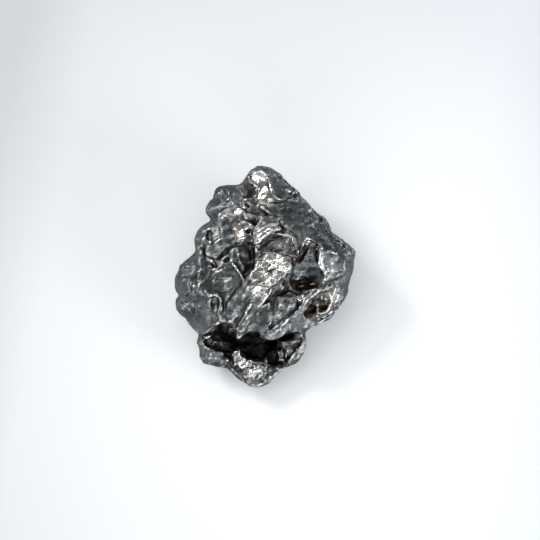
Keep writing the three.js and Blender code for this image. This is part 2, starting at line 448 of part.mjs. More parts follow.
// Squared distance to the nearest of scattered points: shallow bowls with sharp rims between them
function bowls(u, v, w, width, seed) {
  const [x, y, z] = [u / width, v / width, w / width];
  const [i0, j0, k0] = [Math.floor(x), Math.floor(y), Math.floor(z)];
  let best = 9;
  for (let i = i0 - 1; i <= i0 + 1; i++) {
    for (let j = j0 - 1; j <= j0 + 1; j++) {
      for (let k = k0 - 1; k <= k0 + 1; k++) {
        const dx = i + 0.15 + 0.7 * scatter(i, j, k, seed) - x;
        const dy = j + 0.15 + 0.7 * scatter(i, j, k, seed + 1) - y;
        const dz = k + 0.15 + 0.7 * scatter(i, j, k, seed + 2) - z;
        best = Math.min(best, dx * dx + dy * dy + dz * dz);
      }
    }
  }
  return best;
}

// How far the thumb prints push the surface in or out at a point of it
function relief(u, v, w) {
  const b = bend(u, v, w);
  const p = [0, 1, 2].map((i) => [u, v, w][i] + 2.2 * (b[i] - [u, v, w][i]));
  let rough = 0;
  for (const [a, c, r, s] of ROUGH_PLACES) {
    rough = Math.max(rough, s * Math.exp(-((u - a) ** 2 + (v - c) ** 2) / (2 * r * r)));
  }
  const flank = 1 / (1 + Math.exp((w + 0.4 - 0.05 * v) / 0.7));
  rough *= 1 - 0.7 * flank;
  const large = 1.25 * flank * (bowls(...p, BOWL_LARGE, 3) - 0.42);
  const medium = 0.6 * (0.1 + 0.6 * rough + 0.3 * flank) * (bowls(...p, BOWL_MEDIUM, 17) - 0.4);
  const height = COS * v + SIN * w - FLAT_LEVEL;
  const calm = Math.min(Math.max(height / 2.0, 0.1), 1);
  return calm * (large + medium);
}

// The field on a regular grid, kept as a flat array
const LOW = [-15.2, -18, -14.5];
const COUNT = [33, 39, 27].map((n) => Math.ceil((n * 0.93) / FACET_STEP) + 1);
const at = (i, j, k) => (i * COUNT[1] + j) * COUNT[2] + k;
const place = (i, axis) => LOW[axis] + i * FACET_STEP;
const field = new Float64Array(COUNT[0] * COUNT[1] * COUNT[2]);
for (let i = 0; i < COUNT[0]; i++) {
  for (let j = 0; j < COUNT[1]; j++) {
    for (let k = 0; k < COUNT[2]; k++) field[at(i, j, k)] = stone(place(i, 0), place(j, 1), place(k, 2));
  }
}

const CORNERS = [0, 1, 2, 3, 4, 5, 6, 7].map((c) => [c & 1, (c >> 1) & 1, (c >> 2) & 1]);
const valueAt = (cell, c) => field[at(cell[0] + CORNERS[c][0], cell[1] + CORNERS[c][1], cell[2] + CORNERS[c][2])];

// Whether the corners chosen by a mask hang together along the edges of the cell
function joined(mask) {
  if (!mask) return true;
  let seen = mask & -mask;
  for (let grew = true; grew; ) {
    grew = false;
    for (let c = 0; c < 8; c++) {
      if (!((seen >> c) & 1)) continue;
      for (const step of [1, 2, 4]) {
        const other = c ^ step;
        if ((mask >> other) & 1 && !((seen >> other) & 1)) {
          seen |= 1 << other;
          grew = true;
        }
      }
    }
  }
  return seen === mask;
}

function eachCell(visit) {
  for (let i = 0; i < COUNT[0] - 1; i++) {
    for (let j = 0; j < COUNT[1] - 1; j++) {
      for (let k = 0; k < COUNT[2] - 1; k++) visit([i, j, k]);
    }
  }
}

const maskOf = (cell) => CORNERS.reduce((m, _, c) => m | (valueAt(cell, c) < 0 ? 1 << c : 0), 0);

// Fills corners where the surface would touch itself, until every cell holds one sheet
for (let changed = true; changed; ) {
  changed = false;
  eachCell((cell) => {
    const mask = maskOf(cell);
    if (joined(mask) && joined(255 & ~mask)) return;
    let pick = -1;
    for (let c = 0; c < 8; c++) {
      if (!((mask >> c) & 1) && (pick < 0 || valueAt(cell, c) < valueAt(cell, pick))) pick = c;
    }
    field[at(cell[0] + CORNERS[pick][0], cell[1] + CORNERS[pick][1], cell[2] + CORNERS[pick][2])] = -0.05;
    changed = true;
  });
}

// One point in each cell that the surface crosses
const points = [];
const pointOf = new Map();
eachCell((cell) => {
  const mask = maskOf(cell);
  if (mask === 0 || mask === 255) return;
  const sum = [0, 0, 0];
  let n = 0;
  for (let c = 0; c < 8; c++) {
    for (const axis of [0, 1, 2]) {
      if (CORNERS[c][axis]) continue;
      const a = valueAt(cell, c);
      const b = valueAt(cell, c | (1 << axis));
      if (a < 0 === b < 0) continue;
      for (const m of [0, 1, 2]) sum[m] += CORNERS[c][m] + (m === axis ? a / (a - b) : 0);
      n++;
    }
  }
  pointOf.set(at(...cell), points.length);
  points.push(sum.map((x, m) => place(cell[m], m) + (x / n) * FACET_STEP));
});

// Draws each point onto the true surface
function slopeOf(p) {
  const e = 0.25;
  return [0, 1, 2].map((m) => {
    const a = [...p];
    const b = [...p];
    a[m] += e;
    b[m] -= e;
    return (stone(...a) - stone(...b)) / (2 * e);
  });
}
const settled = points.map((start) => {
  let p = [...start];
  for (let pass = 0; pass < 2; pass++) {
    const g = slopeOf(p);
    const size = Math.max(g[0] ** 2 + g[1] ** 2 + g[2] ** 2, 0.4);
    const f = clamp(stone(...p), -0.3, 0.3);
    p = p.map((x, m) => clamp(x - (f * g[m]) / size, start[m] - 0.3 * FACET_STEP, start[m] + 0.3 * FACET_STEP));
  }
  return p;
});

// Four-sided faces around each crossed grid edge, split along the shorter diagonal
const triangles = [];
for (const axis of [0, 1, 2]) {
  const [o1, o2] = [[1, 2], [2, 0], [0, 1]][axis];
  eachCell((cell) => {
    if (cell[o1] === 0 || cell[o2] === 0) return;
    const end = [...cell];
    end[axis] += 1;
    const a = field[at(...cell)] < 0;
    const b = field[at(...end)] < 0;
    if (a === b) return;
    const corner = (d1, d2) => {
      const q = [...cell];
      q[o1] -= d1;
      q[o2] -= d2;
      return pointOf.get(at(...q));
    };
    let quad = [corner(0, 0), corner(1, 0), corner(1, 1), corner(0, 1)];
    if (!a) quad = quad.reverse();
    const far = (s, t) => Math.hypot(...settled[s].map((x, m) => x - settled[t][m]));
    if (far(quad[0], quad[2]) < far(quad[1], quad[3])) {
      triangles.push([quad[0], quad[1], quad[2]], [quad[0], quad[2], quad[3]]);
    } else {
      triangles.push([quad[0], quad[1], quad[3]], [quad[1], quad[2], quad[3]]);
    }
  });
}

// Eases each point a little towards the middle of its neighbours
const around = settled.map(() => new Set());
for (const [a, b, c] of triangles) {
  for (const [x, y] of [[a, b], [b, c], [c, a]]) {
    around[x].add(y);
    around[y].add(x);
  }
}
const eased = settled.map((p, i) => {
  const near = [...around[i]].map((n) => settled[n]);
  return p.map((x, m) => x + EASE * (near.reduce((sum, q) => sum + q[m], 0) / near.length - x));
});

// Pushes each point in or out by the thumb prints, along the mean direction of its faces
const skin = new THREE.BufferGeometry();
skin.setAttribute("position", new THREE.BufferAttribute(new Float32Array(eased.flat()), 3));
skin.setIndex(new THREE.BufferAttribute(new Uint32Array(triangles.flat()), 1));
skin.computeVertexNormals();
const outward = skin.getAttribute("normal");
const printed = eased.map((p, i) => {
  const push = relief(...p);
  return [p[0] + push * outward.getX(i), p[1] + push * outward.getY(i), p[2] + push * outward.getZ(i)];
});

// Set upright on its flat spot
const upright = printed.map(([u, v, w]) => [u, SIN * v - COS * w, COS * v + SIN * w - FLAT_LEVEL]);

const manifold = await Module();
manifold.setup();
const { Manifold, Mesh } = manifold;

function solidOf(geometry) {
  return new Manifold(new Mesh({
    numProp: 3,
    vertProperties: new Float32Array(geometry.getAttribute("position").array),
    triVerts: new Uint32Array(geometry.index.array),
  }));
}

function geometryOf(solid) {
  const mesh = solid.getMesh();
  const g = new THREE.BufferGeometry();
  g.setAttribute("position", new THREE.BufferAttribute(new Float32Array(mesh.vertProperties), 3));
  g.setIndex(new THREE.BufferAttribute(new Uint32Array(mesh.triVerts), 1));
  return g;
}

const raw = new THREE.BufferGeometry();
raw.setAttribute("position", new THREE.BufferAttribute(new Float32Array(upright.flat()), 3));
raw.setIndex(new THREE.BufferAttribute(new Uint32Array(triangles.flat()), 1));

// A slab below z = 0, taken away to leave the flat spot
const slabCorners = new THREE.BufferGeometry();
slabCorners.setAttribute("position", new THREE.BufferAttribute(new Float32Array([
  -30, -30, -10, 30, -30, -10, 30, 30, -10, -30, 30, -10, -30, -30, 0, 30, -30, 0, 30, 30, 0, -30, 30, 0,
]), 3));
slabCorners.setIndex([0, 2, 1, 0, 3, 2, 4, 5, 6, 4, 6, 7, 0, 1, 5, 0, 5, 4, 1, 2, 6, 1, 6, 5, 2, 3, 7, 2, 7, 6,
  3, 0, 4, 3, 4, 7]);
const body = geometryOf(solidOf(raw).subtract(solidOf(slabCorners)));

// The origin goes to the middle of the footprint
body.computeBoundingBox();
const middle = body.boundingBox.getCenter(new THREE.Vector3());
body.translate(-middle.x, -middle.y, 0);
body.computeVertexNormals();

const iron = new THREE.MeshStandardMaterial({ color: 0x5d6062, metalness: 1.0, roughness: 0.38 });
const mesh = new THREE.Mesh(body, iron);
mesh.name = "iron_meteorite";
const part = new THREE.Group();
part.add(mesh);
export default part;
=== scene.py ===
"""A small cleaned iron meteorite on a pale surface, seen from steeply above.

The stone is sculpted as one field, in millimetres: a rounded body within an outline read off point by point,
then masses, plates, folds, grooves, pits and scoops in order, then finer thumb prints, folds and grain.
"""
import math

import bpy
import numpy as np
from bpy.props import FloatProperty, FloatVectorProperty, PointerProperty
from mathutils import Matrix, Vector


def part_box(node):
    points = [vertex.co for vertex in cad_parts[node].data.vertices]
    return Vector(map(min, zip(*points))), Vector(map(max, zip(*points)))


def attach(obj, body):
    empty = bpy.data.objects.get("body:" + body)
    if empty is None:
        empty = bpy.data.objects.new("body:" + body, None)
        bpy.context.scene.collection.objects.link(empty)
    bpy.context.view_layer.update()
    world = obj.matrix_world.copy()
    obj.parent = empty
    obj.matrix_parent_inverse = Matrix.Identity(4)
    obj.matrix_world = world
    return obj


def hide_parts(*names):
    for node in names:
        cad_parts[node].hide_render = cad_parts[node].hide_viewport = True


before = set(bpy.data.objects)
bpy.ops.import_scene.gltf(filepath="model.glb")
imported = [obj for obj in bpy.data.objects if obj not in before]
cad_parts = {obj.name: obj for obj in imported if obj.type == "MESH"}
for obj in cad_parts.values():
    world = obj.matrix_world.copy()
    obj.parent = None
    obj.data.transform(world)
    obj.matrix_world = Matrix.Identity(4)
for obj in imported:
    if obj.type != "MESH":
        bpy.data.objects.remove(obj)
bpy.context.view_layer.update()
STONE_LOW, STONE_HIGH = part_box("iron_meteorite")

bl_info = {
    "name": "Iron Meteorite",
    "version": (1, 0, 0),
    "blender": (4, 5, 0),
    "location": "3D View > Sidebar > Meteorite",
    "description": "Sculpts an iron meteorite nugget and sets it on a pale surface",
    "category": "Object",
}

MM = 0.001

# Driving dimensions in millimetres, in the frame of the face: u right, v up the face, w out of it
TILT_DEG = 75.0
TOP_HEIGHT = 4.2
TOP_SHOULDER = 6.0
FLANK_SHOULDER = 13.0
FLAT_LEVEL = -9.0
BELLY = 0.95
ROUNDNESS = 2.2
UNDER_ROUNDNESS = 1.9
PLATE_THICKNESS = 2.6
CRISPNESS = 0.6
LOW_CORNER = (-15.2, -18.0, -14.5)
HIGH_CORNER = (15.2, 18.4, 10.5)
# Middle of the picture on the face
AIM = (0.6, 1.2, 0.0)

# Outline of the stone seen square on to the face
OUTLINE = [
  [-1, 16.5], [-2.3, 15.9], [-2.9, 15], [-3.9, 14.2], [-5.2, 14], [-6.6, 13.6], [-7.4, 12.7], [-7.8, 11.8],
  [-8.7, 11], [-8.9, 10], [-8.3, 8.9], [-9.4, 7.8], [-10.4, 6.6], [-10.9, 5.5], [-10.5, 4.4], [-11.9, 2.9],
  [-13.1, 1.2], [-13.6, -0.8], [-13.3, -2.8], [-13.6, -4.1], [-13.1, -5.3], [-12.1, -6.3], [-11, -7.6],
  [-10.1, -8.6], [-10.3, -9.7], [-9.8, -11.2], [-8.9, -12.6], [-7.8, -13.5], [-6.6, -13.5], [-5.6, -14.1],
  [-4.5, -15.2], [-3, -16], [-1.5, -16.5], [-0.1, -16], [1.2, -14.9], [2.6, -13.9], [4.4, -13], [5.5, -11.9],
  [6.2, -10.3], [6.1, -9], [5.9, -8.2], [7.2, -7.1], [9.4, -6.4], [10.4, -5.3], [11.3, -3.9], [12, -2.3],
  [12.4, -0.6], [13, 0.9], [13.3, 2.6], [13.5, 4.1], [12.4, 5.2], [10.8, 6.2], [9.7, 7.4], [9, 8.8],
  [7.6, 9.9], [6.4, 11], [5.4, 12.4], [4.2, 13.5], [3.1, 14.6], [1.7, 15.7], [0.3, 16.1],
]


# The forms that add to the stone, and those that are taken from it. k is the width of their blend
def shape(form, k, **fixed):
    """Makes the function that describes forms of one kind."""
    def describe(at, size, k=k, **more):
        return {"form": form, "at": at, "size": size, "k": k, **fixed, **more}
    return describe


lump = shape("lump", 0.5)
knob = shape("lump", 0.3, on_face=True)
pit = shape("pit", 0.3, on_face=True)
scoop = shape("pit", 0.7)
block = shape("block", 0.2)
notch = shape("notch", 1.0)


# A point of a line: u, v, height over the face if it is not 0, radius
def ridge(line, k=0.3):
    return {"form": "ridge", "line": line, "k": k}


def groove(line, k=0.4):
    return {"form": "groove", "line": line, "k": k}


def plate(edge, at, slope, soft=0.5, k=0.35):
    return {"form": "plate", "edge": edge, "at": at, "slope": slope, "soft": soft, "k": k}


def hollow(edge, at, slope, soft=0.5, k=0.35):
    return {"form": "hollow", "edge": edge, "at": at, "slope": slope, "soft": soft, "k": k}


MASSES = [
  lump([1.2, 2.2, 1.8], [8.2, 7.8, 5.2], 2),
  lump([-0.6, -4.2, 1.6], [6.6, 5.2, 3.9], 1.5),
  lump([-0.5, 13.2, 1.3], [2.9, 3.7, 4], 1),
  lump([-5.9, 12.1, 0.6], [1.8, 1.8, 2.6]),
  lump([-7.3, 10.2, 0.2], [1.6, 1.7, 2.4]),
  lump([-8.7, 5.8, 0.4], [1.9, 2.7, 3], 0.6, turn=-35),
  lump([-11.1, 0, -0.4], [2.5, 3.3, 3.4], 0.6, turn=-10),
  lump([-11.9, -4.3, -1.2], [1.8, 1.8, 2.2]),
  notch([-2, -16.4, 5.4], [14, 6, 5.2], 1, lean=-8, rounding=1),
]

# Scoops out of the flanks and the underside
FLANKS = [
  scoop([15, -0.6, -3.6], [4.6, 5, 3], turn=12),
  scoop([10.4, -9.4, -3.2], [4.4, 4, 3], turn=30),
  scoop([-15.4, -1.4, -4.8], [4.6, 4.4, 2.6], lean=15),
  scoop([-13.2, 7.6, -4.2], [4.4, 4.4, 3], turn=-30),
  scoop([-13.6, -9.4, -4.4], [4, 3.4, 2.4], turn=20),
  scoop([-3.6, 19, -3.6], [5.4, 4.8, 3], turn=8),
  scoop([-9.6, 15.6, -6.6], [5, 4.8, 3.6]),
  scoop([7.6, 16.6, -3.4], [5.4, 4.8, 2.8], turn=-25),
  scoop([2.4, 16.8, -9.8], [5.8, 4.8, 3.4]),
  scoop([13.2, 9.4, -6.4], [5.4, 5, 3.8], turn=25),
  scoop([-6.6, 6.6, -12.2], [4.4, 3.8, 2.6], lean=15),
  scoop([6.2, 6.8, -12.2], [3.8, 4.6, 2.4], lean=15),
  scoop([8, -5, -9], [3.8, 3.2, 2.3], lean=15),
  scoop([-7.6, -5.6, -8.8], [3.6, 3.4, 2.2], lean=15),
  scoop([0.8, -12, -7], [3.8, 2.6, 1.8], lean=15),
]

SHOULDERS = [
  # smooth lower left flank
  plate([[-12.2, -5.5], [-11, -3], [-9.6, -1.5], [-8.6, -2.5], [-7.2, -3.2], [-6.6, -6.6], [-8.6, -7.7],
    [-10.2, -8.1]], [-9.4, -4.8, 2.6], [0.42, 0.3], 1.2, 0.6),
  # broad smooth shoulder on the upper right
  plate([[0.2, 10.9], [2.2, 11.4], [4, 12.1], [5.6, 11.7], [6.8, 10.3], [7.4, 8.8], [8.1, 6.9], [9.8, 4.9],
    [10.8, 3.6], [9.8, 3.3], [8.3, 4.2], [7.4, 5], [6.2, 5.5], [5.4, 4.4], [4.9, 4.5], [4.5, 6], [3.6, 6.9],
    [2.6, 7.3], [2.1, 8.5], [1.2, 9.1], [0, 9.4], [-1, 10.2]], [4.5, 8.2, 5.6], [-0.2, -0.24], 1, 0.3),
]

PEAK = [
  plate([[0.3, 14.4], [1.4, 15.5], [3, 14.3], [4.7, 13], [4, 12.2], [2.1, 11.6], [1, 12.2]], [2.2, 13.4, 4.8],
    [-0.42, -0.24]),
  plate([[-5.2, 13.6], [-3.6, 13.9], [-2.6, 15.2], [-2, 14.5], [-2.6, 12.2], [-3.6, 11.9], [-4.4, 12.6]],
    [-3.2, 13.4, 3.2], [0.75, 0.1], 0.6, 0.5),
  plate([[-3.5, 11.8], [-2.2, 12.2], [-0.6, 11.3], [0.8, 10.8], [0.8, 9], [-1.2, 8.8], [-2.9, 9.2]],
    [-1.5, 10.5, 4.9], [0.3, 0.1], 0.9, 0.5),
  # the scoop that catches the light, and the steep side left of it
  hollow([[-2.2, 15.4], [-0.6, 15.7], [0.2, 14.8], [0.7, 12.9], [1.4, 11.5], [0, 10.6], [-1.5, 11.1],
    [-1.7, 12.6], [-1.2, 13.6], [-2.3, 14.3]], [-0.8, 12.8, 4.5], [0.34, -0.2], 0.8, 0.4),
  pit([-2.4, 12.8, 0.1], [0.9, 1.2, 0.6], 0.4, turn=20),
  groove([[-2, 14.4, 0.15], [-1.1, 13.7, 0.2], [-0.8, 13.1, 0.1, 0.15]], 0.3),
  ridge([[0.7, 14, -0.1, 0.15], [1.2, 12.9, 0.15], [1.8, 11.8, -0.1, 0.15]]),
  ridge([[0.2, 13, 0.15], [1.2, 11.4, 0.2]]),
  groove([[2.5, 13.6, 0.15], [3.3, 12.9, 0.25], [4, 12.1, 0.15]], 0.3),
  knob([1.5, 11.6, 0.1], [1.3, 0.4, 0.5], 0.3, turn=8),
  # notches along the ragged rim on the right
  groove([[1.8, 15.2, 0.15], [2.9, 14.4, 0.3], [3.5, 13.8, 0.15]], 0.2),
  groove([[4, 13.4, 0.15], [4.8, 12.7, 0.35], [5.4, 12, 0.15]], 0.2),
  groove([[7.2, 10.1, 0.15], [7.9, 9.2, 0.3], [8.3, 8.3, 0.15]], 0.2),
  groove([[8.9, 7.9, 0.15], [9.5, 7.2, 0.3], [10.2, 6.6, 0.15]], 0.2),
  groove([[10.6, 5.8, 0.15], [11.4, 5.1, 0.3], [12, 4.3, 0.15]], 0.2),
]

LEFT_BLOCK = [
  plate([[-6.9, 9.4], [-6.2, 10.2], [-4.6, 10.4], [-3.4, 10.2], [-2.6, 9.2], [-3, 8.3], [-3.9, 8],
    [-4.5, 6.6], [-4.9, 5.3], [-6.4, 3.7], [-7.7, 2.8], [-8.7, 3.2], [-8.5, 4.5], [-7.2, 5.6], [-6.5, 6.4],
    [-6.8, 7.8]], [-5.6, 7.2, 5], [-0.1, 0.16], 0.6),
  pit([-4.6, 10, 0.4], [1.5, 1.1, 0.8], 0.3, turn=-20, lean=20),
  plate([[-4.6, 7], [-4.2, 8.2], [-2.9, 8.4], [-1.7, 7.9], [-1.8, 6.6], [-3.1, 5.4], [-4.3, 5.3]],
    [-3.3, 7, 5.5], [0.42, -0.15], 0.4, 0.2),
  pit([-2.8, 7.1, 0.2], [0.6, 0.3, 0.4], 0.2, turn=25),
  plate([[-2.8, 9.5], [-0.4, 9.3], [-1.1, 8], [-1.8, 7.6], [-2.8, 8.2]], [-1.5, 8.9, 5.1], [-0.15, 0.25], 0.3,
    0.2),
  plate([[-2.2, 5.9], [-1.7, 7.6], [-0.1, 9.1], [1.8, 8.9], [2.2, 8], [2.1, 7.1], [0.5, 7], [-0.9, 6]],
    [0.2, 8, 6.2], [0.05, -0.35], 0.5, 0.2),
]

MIDDLE = [
  # rough crown of the face
  plate([[-1.6, 1], [-0.4, 3.6], [0.5, 4.4], [2.7, 3.8], [3.9, 2.6], [3.5, 0.8], [1.6, -0.5], [-1, -1]],
    [1.1, 1.8, 7], [0.26, -0.16], 1.2, 0.6),
  # valley left of the crown, and the shallow basin beyond it
  hollow([[-5, 4.4], [-2.1, 5.4], [-1.7, 3], [-1.9, 0.9], [-3, -0.4], [-3.9, 0], [-4.9, 1.8]],
    [-3.1, 2.5, 4.8], [-0.2, 0.05], 1.3, 0.7),
  hollow([[-9, 2.4], [-8.2, 2.8], [-6.8, 2], [-5.2, 2], [-4, -0.2], [-4, -1.7], [-5.2, -2.8], [-6.6, -3],
    [-7.6, -2.4], [-8.7, -1.9], [-9.1, -0.5]], [-6.5, 0, 4.25], [0.1, -0.05], 2.4, 1.1),
  ridge([[-4.9, 2.2, 0.1, 0.25], [-4.2, 0.6, 0.1, 0.2], [-3.4, -0.6, 0.1, 0.2]]),
  groove([[-2.2, 5.1, 0.2], [-2.1, 2.8, 0.2], [-2.3, 0.6, 0.1, 0.25]], 0.4),
  ridge([[-4.1, 4.2, 0.2], [-3.8, 2.4, 0.2], [-3.5, 0.9, 0.2]], 0.4),
  knob([-5.2, -1, -0.1], [1, 0.8, 0.35], 0.6, turn=20),
]

FOLDS = [
  plate([[-2.2, 0.9], [-1.1, -0.2], [-2.6, -3], [-4.2, -5.7], [-5, -6.8], [-6.3, -6.5], [-6.2, -4.8],
    [-4.8, -2.4]], [-3.6, -2.8, 5.9], [0.16, 0.2], 1.6, 0.7),
  plate([[0.7, -1.4], [-0.9, -1.5], [-2.4, -3.6], [-3.6, -5.7], [-4.4, -7.7], [-3, -7.9], [-1.5, -4.9],
    [0.2, -3.1]], [-1.6, -4, 6], [0.38, -0.06], 0.6, 0.3),
  plate([[1.2, -3.4], [-0.6, -4.1], [-2, -5.8], [-2.9, -8], [-1.2, -7.9], [-0.2, -8.4], [0.7, -6.2]],
    [-0.7, -6.2, 5.5], [0.2, 0.22], 0.6, 0.3),
  lump([2.5, -4.4, 3.4], [3.5, 1.7, 2.9], 0.4, turn=45),
  # rope-like fold running down to a knob over the front hollow
  ridge([[9.8, -1.2, 0.5], [7.4, -2, 0.1, 0.6], [5.9, -3.2, 0.2, 0.6], [4.8, -4.7, 0.2, 0.6],
    [3.1, -6, 0.2, 0.7], [1.9, -7.2, 0.2, 0.8], [0.8, -8.1, 0.1, 1]], 0.5),
  groove([[5, -3.3, 0.12], [4, -4.9, 0.12], [2, -6.2, 0.1], [0.5, -7.2, 0.1]]),
]

RIGHT_SIDE = [
  hollow([[5.4, 4], [6.4, 4.9], [7.6, 4.4], [8.1, 3.4], [8.2, 2.2], [8.8, 0.6], [8.2, -0.6], [6.6, -1.6],
    [4.4, -1.5], [3.4, -0.4], [4, 1.2], [5, 2.6]], [6.6, 1.4, 4.8], [-0.12, 0.36], 0.6, 0.3),
  pit([5.6, -0.8, 0.1], [2.3, 0.9, 0.9], 0.6, turn=12),
  pit([3.9, -1.2, 0], [1.2, 0.6, 0.7], 0.5, turn=-15),
  groove([[6.1, 4.7, 0.3], [5.3, 3.6, 0.45], [4.3, 2.2, 0.35]], 0.3),
  knob([5.3, -1.1, 0], [0.6, 0.4, 0.35], 0.3, turn=30),
  knob([6.7, -0.9, 0], [0.5, 0.4, 0.3], 0.3),
  plate([[7.9, 4], [8.2, 2.2], [8.8, 0.6], [8.6, -0.5], [10.4, -0.4], [11.6, 0.6], [11.8, 2], [11.1, 3.2],
    [9.8, 3.7], [8.5, 4.3]], [10.3, 1.6, 4.8], [-0.26, 0.14], 1.1, 0.6),
  ridge([[7.6, 4.6, -0.1, 0.2], [8.1, 3.7, 0.25], [8.1, 2.2, 0.1, 0.25], [8.7, 0.5, 0.1, 0.25],
    [8.4, -0.4, 0.2]]),
  hollow([[5.9, -6], [6.2, -4.2], [7.6, -3.1], [9.4, -2.2], [11.6, -2.3], [11.5, -3.4], [9.8, -4.4],
    [8.2, -5.2], [7, -6.2]], [8.4, -4, 3], [0.05, 0.3], 1.2, 0.5),
  pit([6.6, -4.9, 0.1], [1.2, 0.7, 0.7], 0.4, turn=35),
  pit([8.7, -3.8, 0.1], [0.9, 0.6, 0.6], 0.4, turn=20),
  knob([7.7, -4.4, -0.1], [0.4, 0.7, 0.4], 0.3),
  ridge([[5.9, -6.9, -0.2, 0.5], [7.2, -6.8, -0.2, 0.5], [8.5, -5.8, -0.2, 0.5], [10.2, -5.1, -0.2, 0.5]],
    0.5),
  groove([[6.9, -6.7, 0.15], [8, -6.3, 0.25], [9.6, -5.6, 0.2]], 0.2),
]

CREST = [
  hollow([[-1.2, 4.2], [-0.2, 5.6], [1.4, 6.4], [3.2, 6.2], [4.3, 5.2], [4.6, 3.8], [2.8, 3.4], [0.6, 3.9]],
    [2, 5, 6.1], [0.02, -0.35], 0.6, 0.3),
  ridge([[-1.8, 4.8, 0.5], [-0.8, 6.1, 0.2, 0.65], [0.5, 7.1, 0.2, 0.6], [2, 7.4, 0.3]], 0.25),
  plate([[-1.8, 4.9], [-1.4, 6.1], [-0.3, 7.1], [1, 7.7], [1.1, 7], [0.2, 6.3], [-0.8, 5.2]],
    [-0.3, 6.5, 7.3], [0.36, -0.24], 0.3, 0.2),
  ridge([[1.6, 6.5, 0.1, 0.25], [3.3, 6.2, 0.2, 0.2], [4.1, 5.2, 0.25, 0.2], [4.7, 4.1, 0.2, 0.2]]),
]

CREVICES = [
  groove([[-1.4, -1, 0.15], [-2.9, -3.4, 0.2], [-3.9, -5.4, 0.18], [-4.7, -6.8, 0.2]], 0.3),
  groove([[-1.5, -4.4, 0.2], [-2.9, -7.2, 0.3]]),
  groove([[0.9, -4.4, 0.3], [1.5, -2.9, 0.4], [3.2, -1.7, -0.2, 0.5], [5, -2, 0.4]]),
  groove([[2.6, -0.9, 0.35], [3.9, 0.8, -0.2, 0.45], [4.9, 2.7, -0.2, 0.45], [6, 4.2, 0.25]]),
  groove([[-0.5, 9.1, 0.1], [-1.6, 7.9, 0.15], [-2.1, 6.2, -0.1, 0.3], [-4.2, 5.1, -0.2, 0.35],
    [-5.6, 4.3, -0.1, 0.25], [-7.2, 2.9, 0.15]]),
  pit([-5.9, 2.8, 0.1], [0.6, 0.35, 0.5], 0.2, turn=30),
  groove([[-8.6, 7, 0.35], [-8.4, 5.9, 0.5], [-7.8, 4.9, 0.35]]),
  groove([[-3.5, 11.9, 0.1], [-2.6, 10.6, 0.2], [-2.1, 9.7, 0.25], [-0.6, 9.2, 0.12]], 0.2),
  groove([[-10.1, 2.4, 0.3], [-10.5, 0.5, 0.35], [-10.9, -1.8, 0.35]], 0.6),
  groove([[-6.3, 13.2, 0.2], [-6.1, 12.3, 0.4], [-6.4, 11.6, 0.3]], 0.3),
  ridge([[-9.5, 4.6, -0.3, 0.6], [-9.8, 3, -0.3, 0.7], [-9.8, 1, -0.35, 0.7], [-9.5, -1.5, -0.4, 0.6]], 0.8),
  ridge([[-8.9, -1.8, -0.05, 0.3], [-8.3, -2.5, 0.35], [-7.4, -2.5, 0.1, 0.35], [-6.8, -3.2, 0.1, 0.35],
    [-6.8, -5, 0.1, 0.35], [-6.3, -6.4, 0.35]], 0.4),
  pit([-7.6, -3.9, 0.15], [0.75, 1.2, 0.8], 0.4, turn=5),
  pit([-11.3, -4.7, 0.1], [0.7, 0.6, 0.6]),
  pit([-7.8, 2, 0.05], [0.8, 0.4, 0.45], 0.25, turn=-32),
]

FRONT = [
  # lower rim
  lump([-8, -11, -1.4], [2.2, 2.3, 2.5], 0.6),
  lump([-6.7, -12.2, -1.6], [1.7, 1.3, 2.2], 0.5, turn=-30),
  lump([-1.8, -14, -1.4], [2.2, 2.3, 2.8], 0.4),
  lump([4.4, -11.1, -1.5], [1, 2.4, 2.7], 0.6, turn=-35),
  # the overhung hollow
  hollow([[-9.4, -8.5], [-7.4, -7.1], [-6, -6.5], [-5, -6.8], [-4.5, -8], [-4.2, -8.9], [-3.2, -8.2],
    [-1.3, -7.9], [-0.5, -8.7], [0.5, -9.1], [1.6, -9.1], [1.1, -10.3], [0.1, -11.4], [-0.6, -12.1],
    [-2.8, -11.9], [-4.2, -11], [-5.4, -11.3], [-6.7, -11.1], [-8.9, -9.9]], [-1, -9, -3.4], [-0.4, -0.2],
    1.2, 0.3),
  hollow([[0.2, -9.4], [2, -8.9], [3.4, -8.1], [4.9, -7.9], [5.6, -8.8], [5.4, -9.8], [4.2, -11.2],
    [2.6, -12.8], [1.4, -13.1], [0.2, -12.2]], [3, -10.4, -0.1], [0.5, 0.2], 1, 0.5),
  scoop([-2.4, -7.6, -1.2], [4.4, 3, 2.4], k=0.8, turn=-8, lean=15),
  scoop([-6.4, -7.2, 0.8], [1.8, 1.9, 2], k=0.8, turn=20),
  scoop([-0.6, -8, 0.2], [2.4, 2.2, 2.6], k=0.8, turn=-20, dip=20),
  scoop([2.4, -8.4, 0.2], [1.9, 0.8, 1], k=0.6, turn=20),
  # broken bits standing on the rim and in the left chamber
  lump([-8.7, -8.7, 0.3], [0.8, 0.6, 0.9], 0.2, turn=30),
  block([-4.5, -11.6, -0.8], [0.8, 1, 1.5], 0.2, turn=20, lean=15, rounding=0.25),
  block([-3.5, -12.8, -0.7], [0.7, 0.65, 1.4], 0.2, turn=30, rounding=0.2),
  groove([[-5.8, -13.2, 0.2], [-4.9, -14.3, 0.3], [-3.9, -15.2, 0.2]], 0.3),
  lump([0.7, -14.2, -1.8], [1.1, 1, 1.6], 0.2),
  block([2.1, -11.8, -1.4], [0.5, 1.1, 1.5], 0.3, turn=10, lean=-10, rounding=0.3),
]

FORMS = [
  *MASSES, *FLANKS, *SHOULDERS, *PEAK, *LEFT_BLOCK, *MIDDLE, *FOLDS, *RIGHT_SIDE, *CREST, *CREVICES, *FRONT,
]

